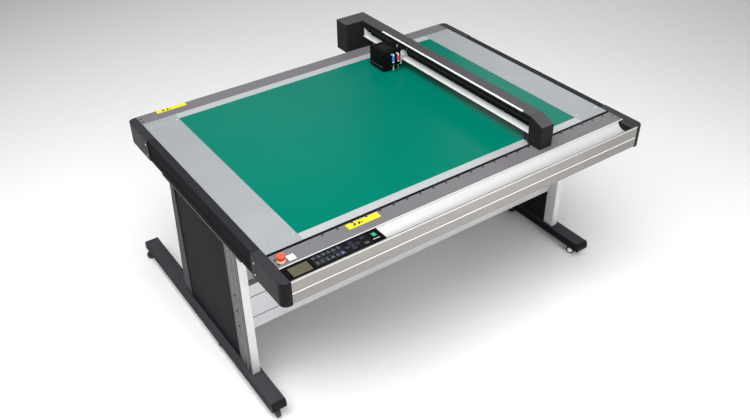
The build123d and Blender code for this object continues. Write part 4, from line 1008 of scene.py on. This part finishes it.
def place_camera():
    """Above and before the front left corner; heading turns from +Y towards +X, and pitch looks down."""
    level = Vector((math.sin(HEADING), math.cos(HEADING), 0))
    ahead = math.cos(PITCH) * level - Vector((0, 0, math.sin(PITCH)))
    right = Vector((math.cos(HEADING), -math.sin(HEADING), 0))
    up = right.cross(ahead)
    tilted_right = math.cos(ROLL) * right + math.sin(ROLL) * up
    tilted_up = -math.sin(ROLL) * right + math.cos(ROLL) * up
    data = bpy.data.cameras.new("camera")
    data.lens = LENS
    data.sensor_width = SENSOR
    data.clip_end = 60
    camera = bpy.data.objects.new("camera", data)
    turn = Matrix((tilted_right, tilted_up, -ahead)).transposed()
    camera.matrix_world = Matrix.Translation(CAMERA_AT) @ turn.to_4x4()
    bpy.context.scene.collection.objects.link(camera)
    bpy.context.scene.camera = camera


def softbox(name, place, aim, size, power):
    """Rectangular area light at a place, turned to a point."""
    data = bpy.data.lights.new(name, "AREA")
    data.shape = "RECTANGLE"
    data.size, data.size_y = size
    data.energy = power
    light = bpy.data.objects.new(name, data)
    light.location = place
    light.rotation_euler = (Vector(aim) - Vector(place)).to_track_quat("-Z", "Y").to_euler()
    bpy.context.scene.collection.objects.link(light)


def light_scene():
    """World that is bright near the horizon and dimmer above, and the softboxes."""
    world = bpy.data.worlds.new("studio")
    bpy.context.scene.world = world
    world.use_nodes = True
    tree = world.node_tree
    background = tree.nodes["Background"]
    direction = tree.nodes.new("ShaderNodeTexCoord")
    split = tree.nodes.new("ShaderNodeSeparateXYZ")
    fall = tree.nodes.new("ShaderNodeMapRange")
    fall.interpolation_type = "SMOOTHSTEP"
    tree.links.new(direction.outputs["Generated"], split.inputs[0])
    tree.links.new(split.outputs["Z"], fall.inputs["Value"])
    for name, number in (("From Min", 0.38), ("From Max", 0.62), ("To Min", 1.15), ("To Max", 0.22)):
        fall.inputs[name].default_value = number
    tree.links.new(fall.outputs["Result"], background.inputs["Strength"])
    softbox("overhead", (-1.2, -0.85, 4.2), (0, 0, 0.8), (5.0, 4.2), 328)
    softbox("key", (4.8, 3.4, 3.4), (0, 0, 0.8), (2.0, 2.0), 38)
    softbox("rear", (1.8, 4.6, 3.4), (-0.2, 0.2, 0.8), (2.0, 1.5), 14)
    softbox("front", (0.7, -2.0, 0.6), (0.05, -0.7, 0.75), (0.7, 0.5), 6.5)
    softbox("fill", (0.2, -4.6, 2.0), (0, 0, 0.4), (4.0, 2.4), 80)


def pale_floor():
    """Plain white floor that the machine stands on."""
    grid = bmesh.new()
    bmesh.ops.create_grid(grid, x_segments=2, y_segments=2, size=30)
    mesh = bpy.data.meshes.new("floor")
    grid.to_mesh(mesh)
    grid.free()
    floor = bpy.data.objects.new("floor", mesh)
    bpy.context.scene.collection.objects.link(floor)
    g = Graph("floor_white")
    g.put(g.shader, "Base Color", g.mix(g.noise(1.5, 2), (0.94, 0.94, 0.94), (0.96, 0.96, 0.96)))
    g.shader.inputs["Roughness"].default_value = 0.8
    mesh.materials.append(g.material)


bpy.context.scene.view_settings.view_transform = "Standard"
place_camera()
light_scene()
pale_floor()
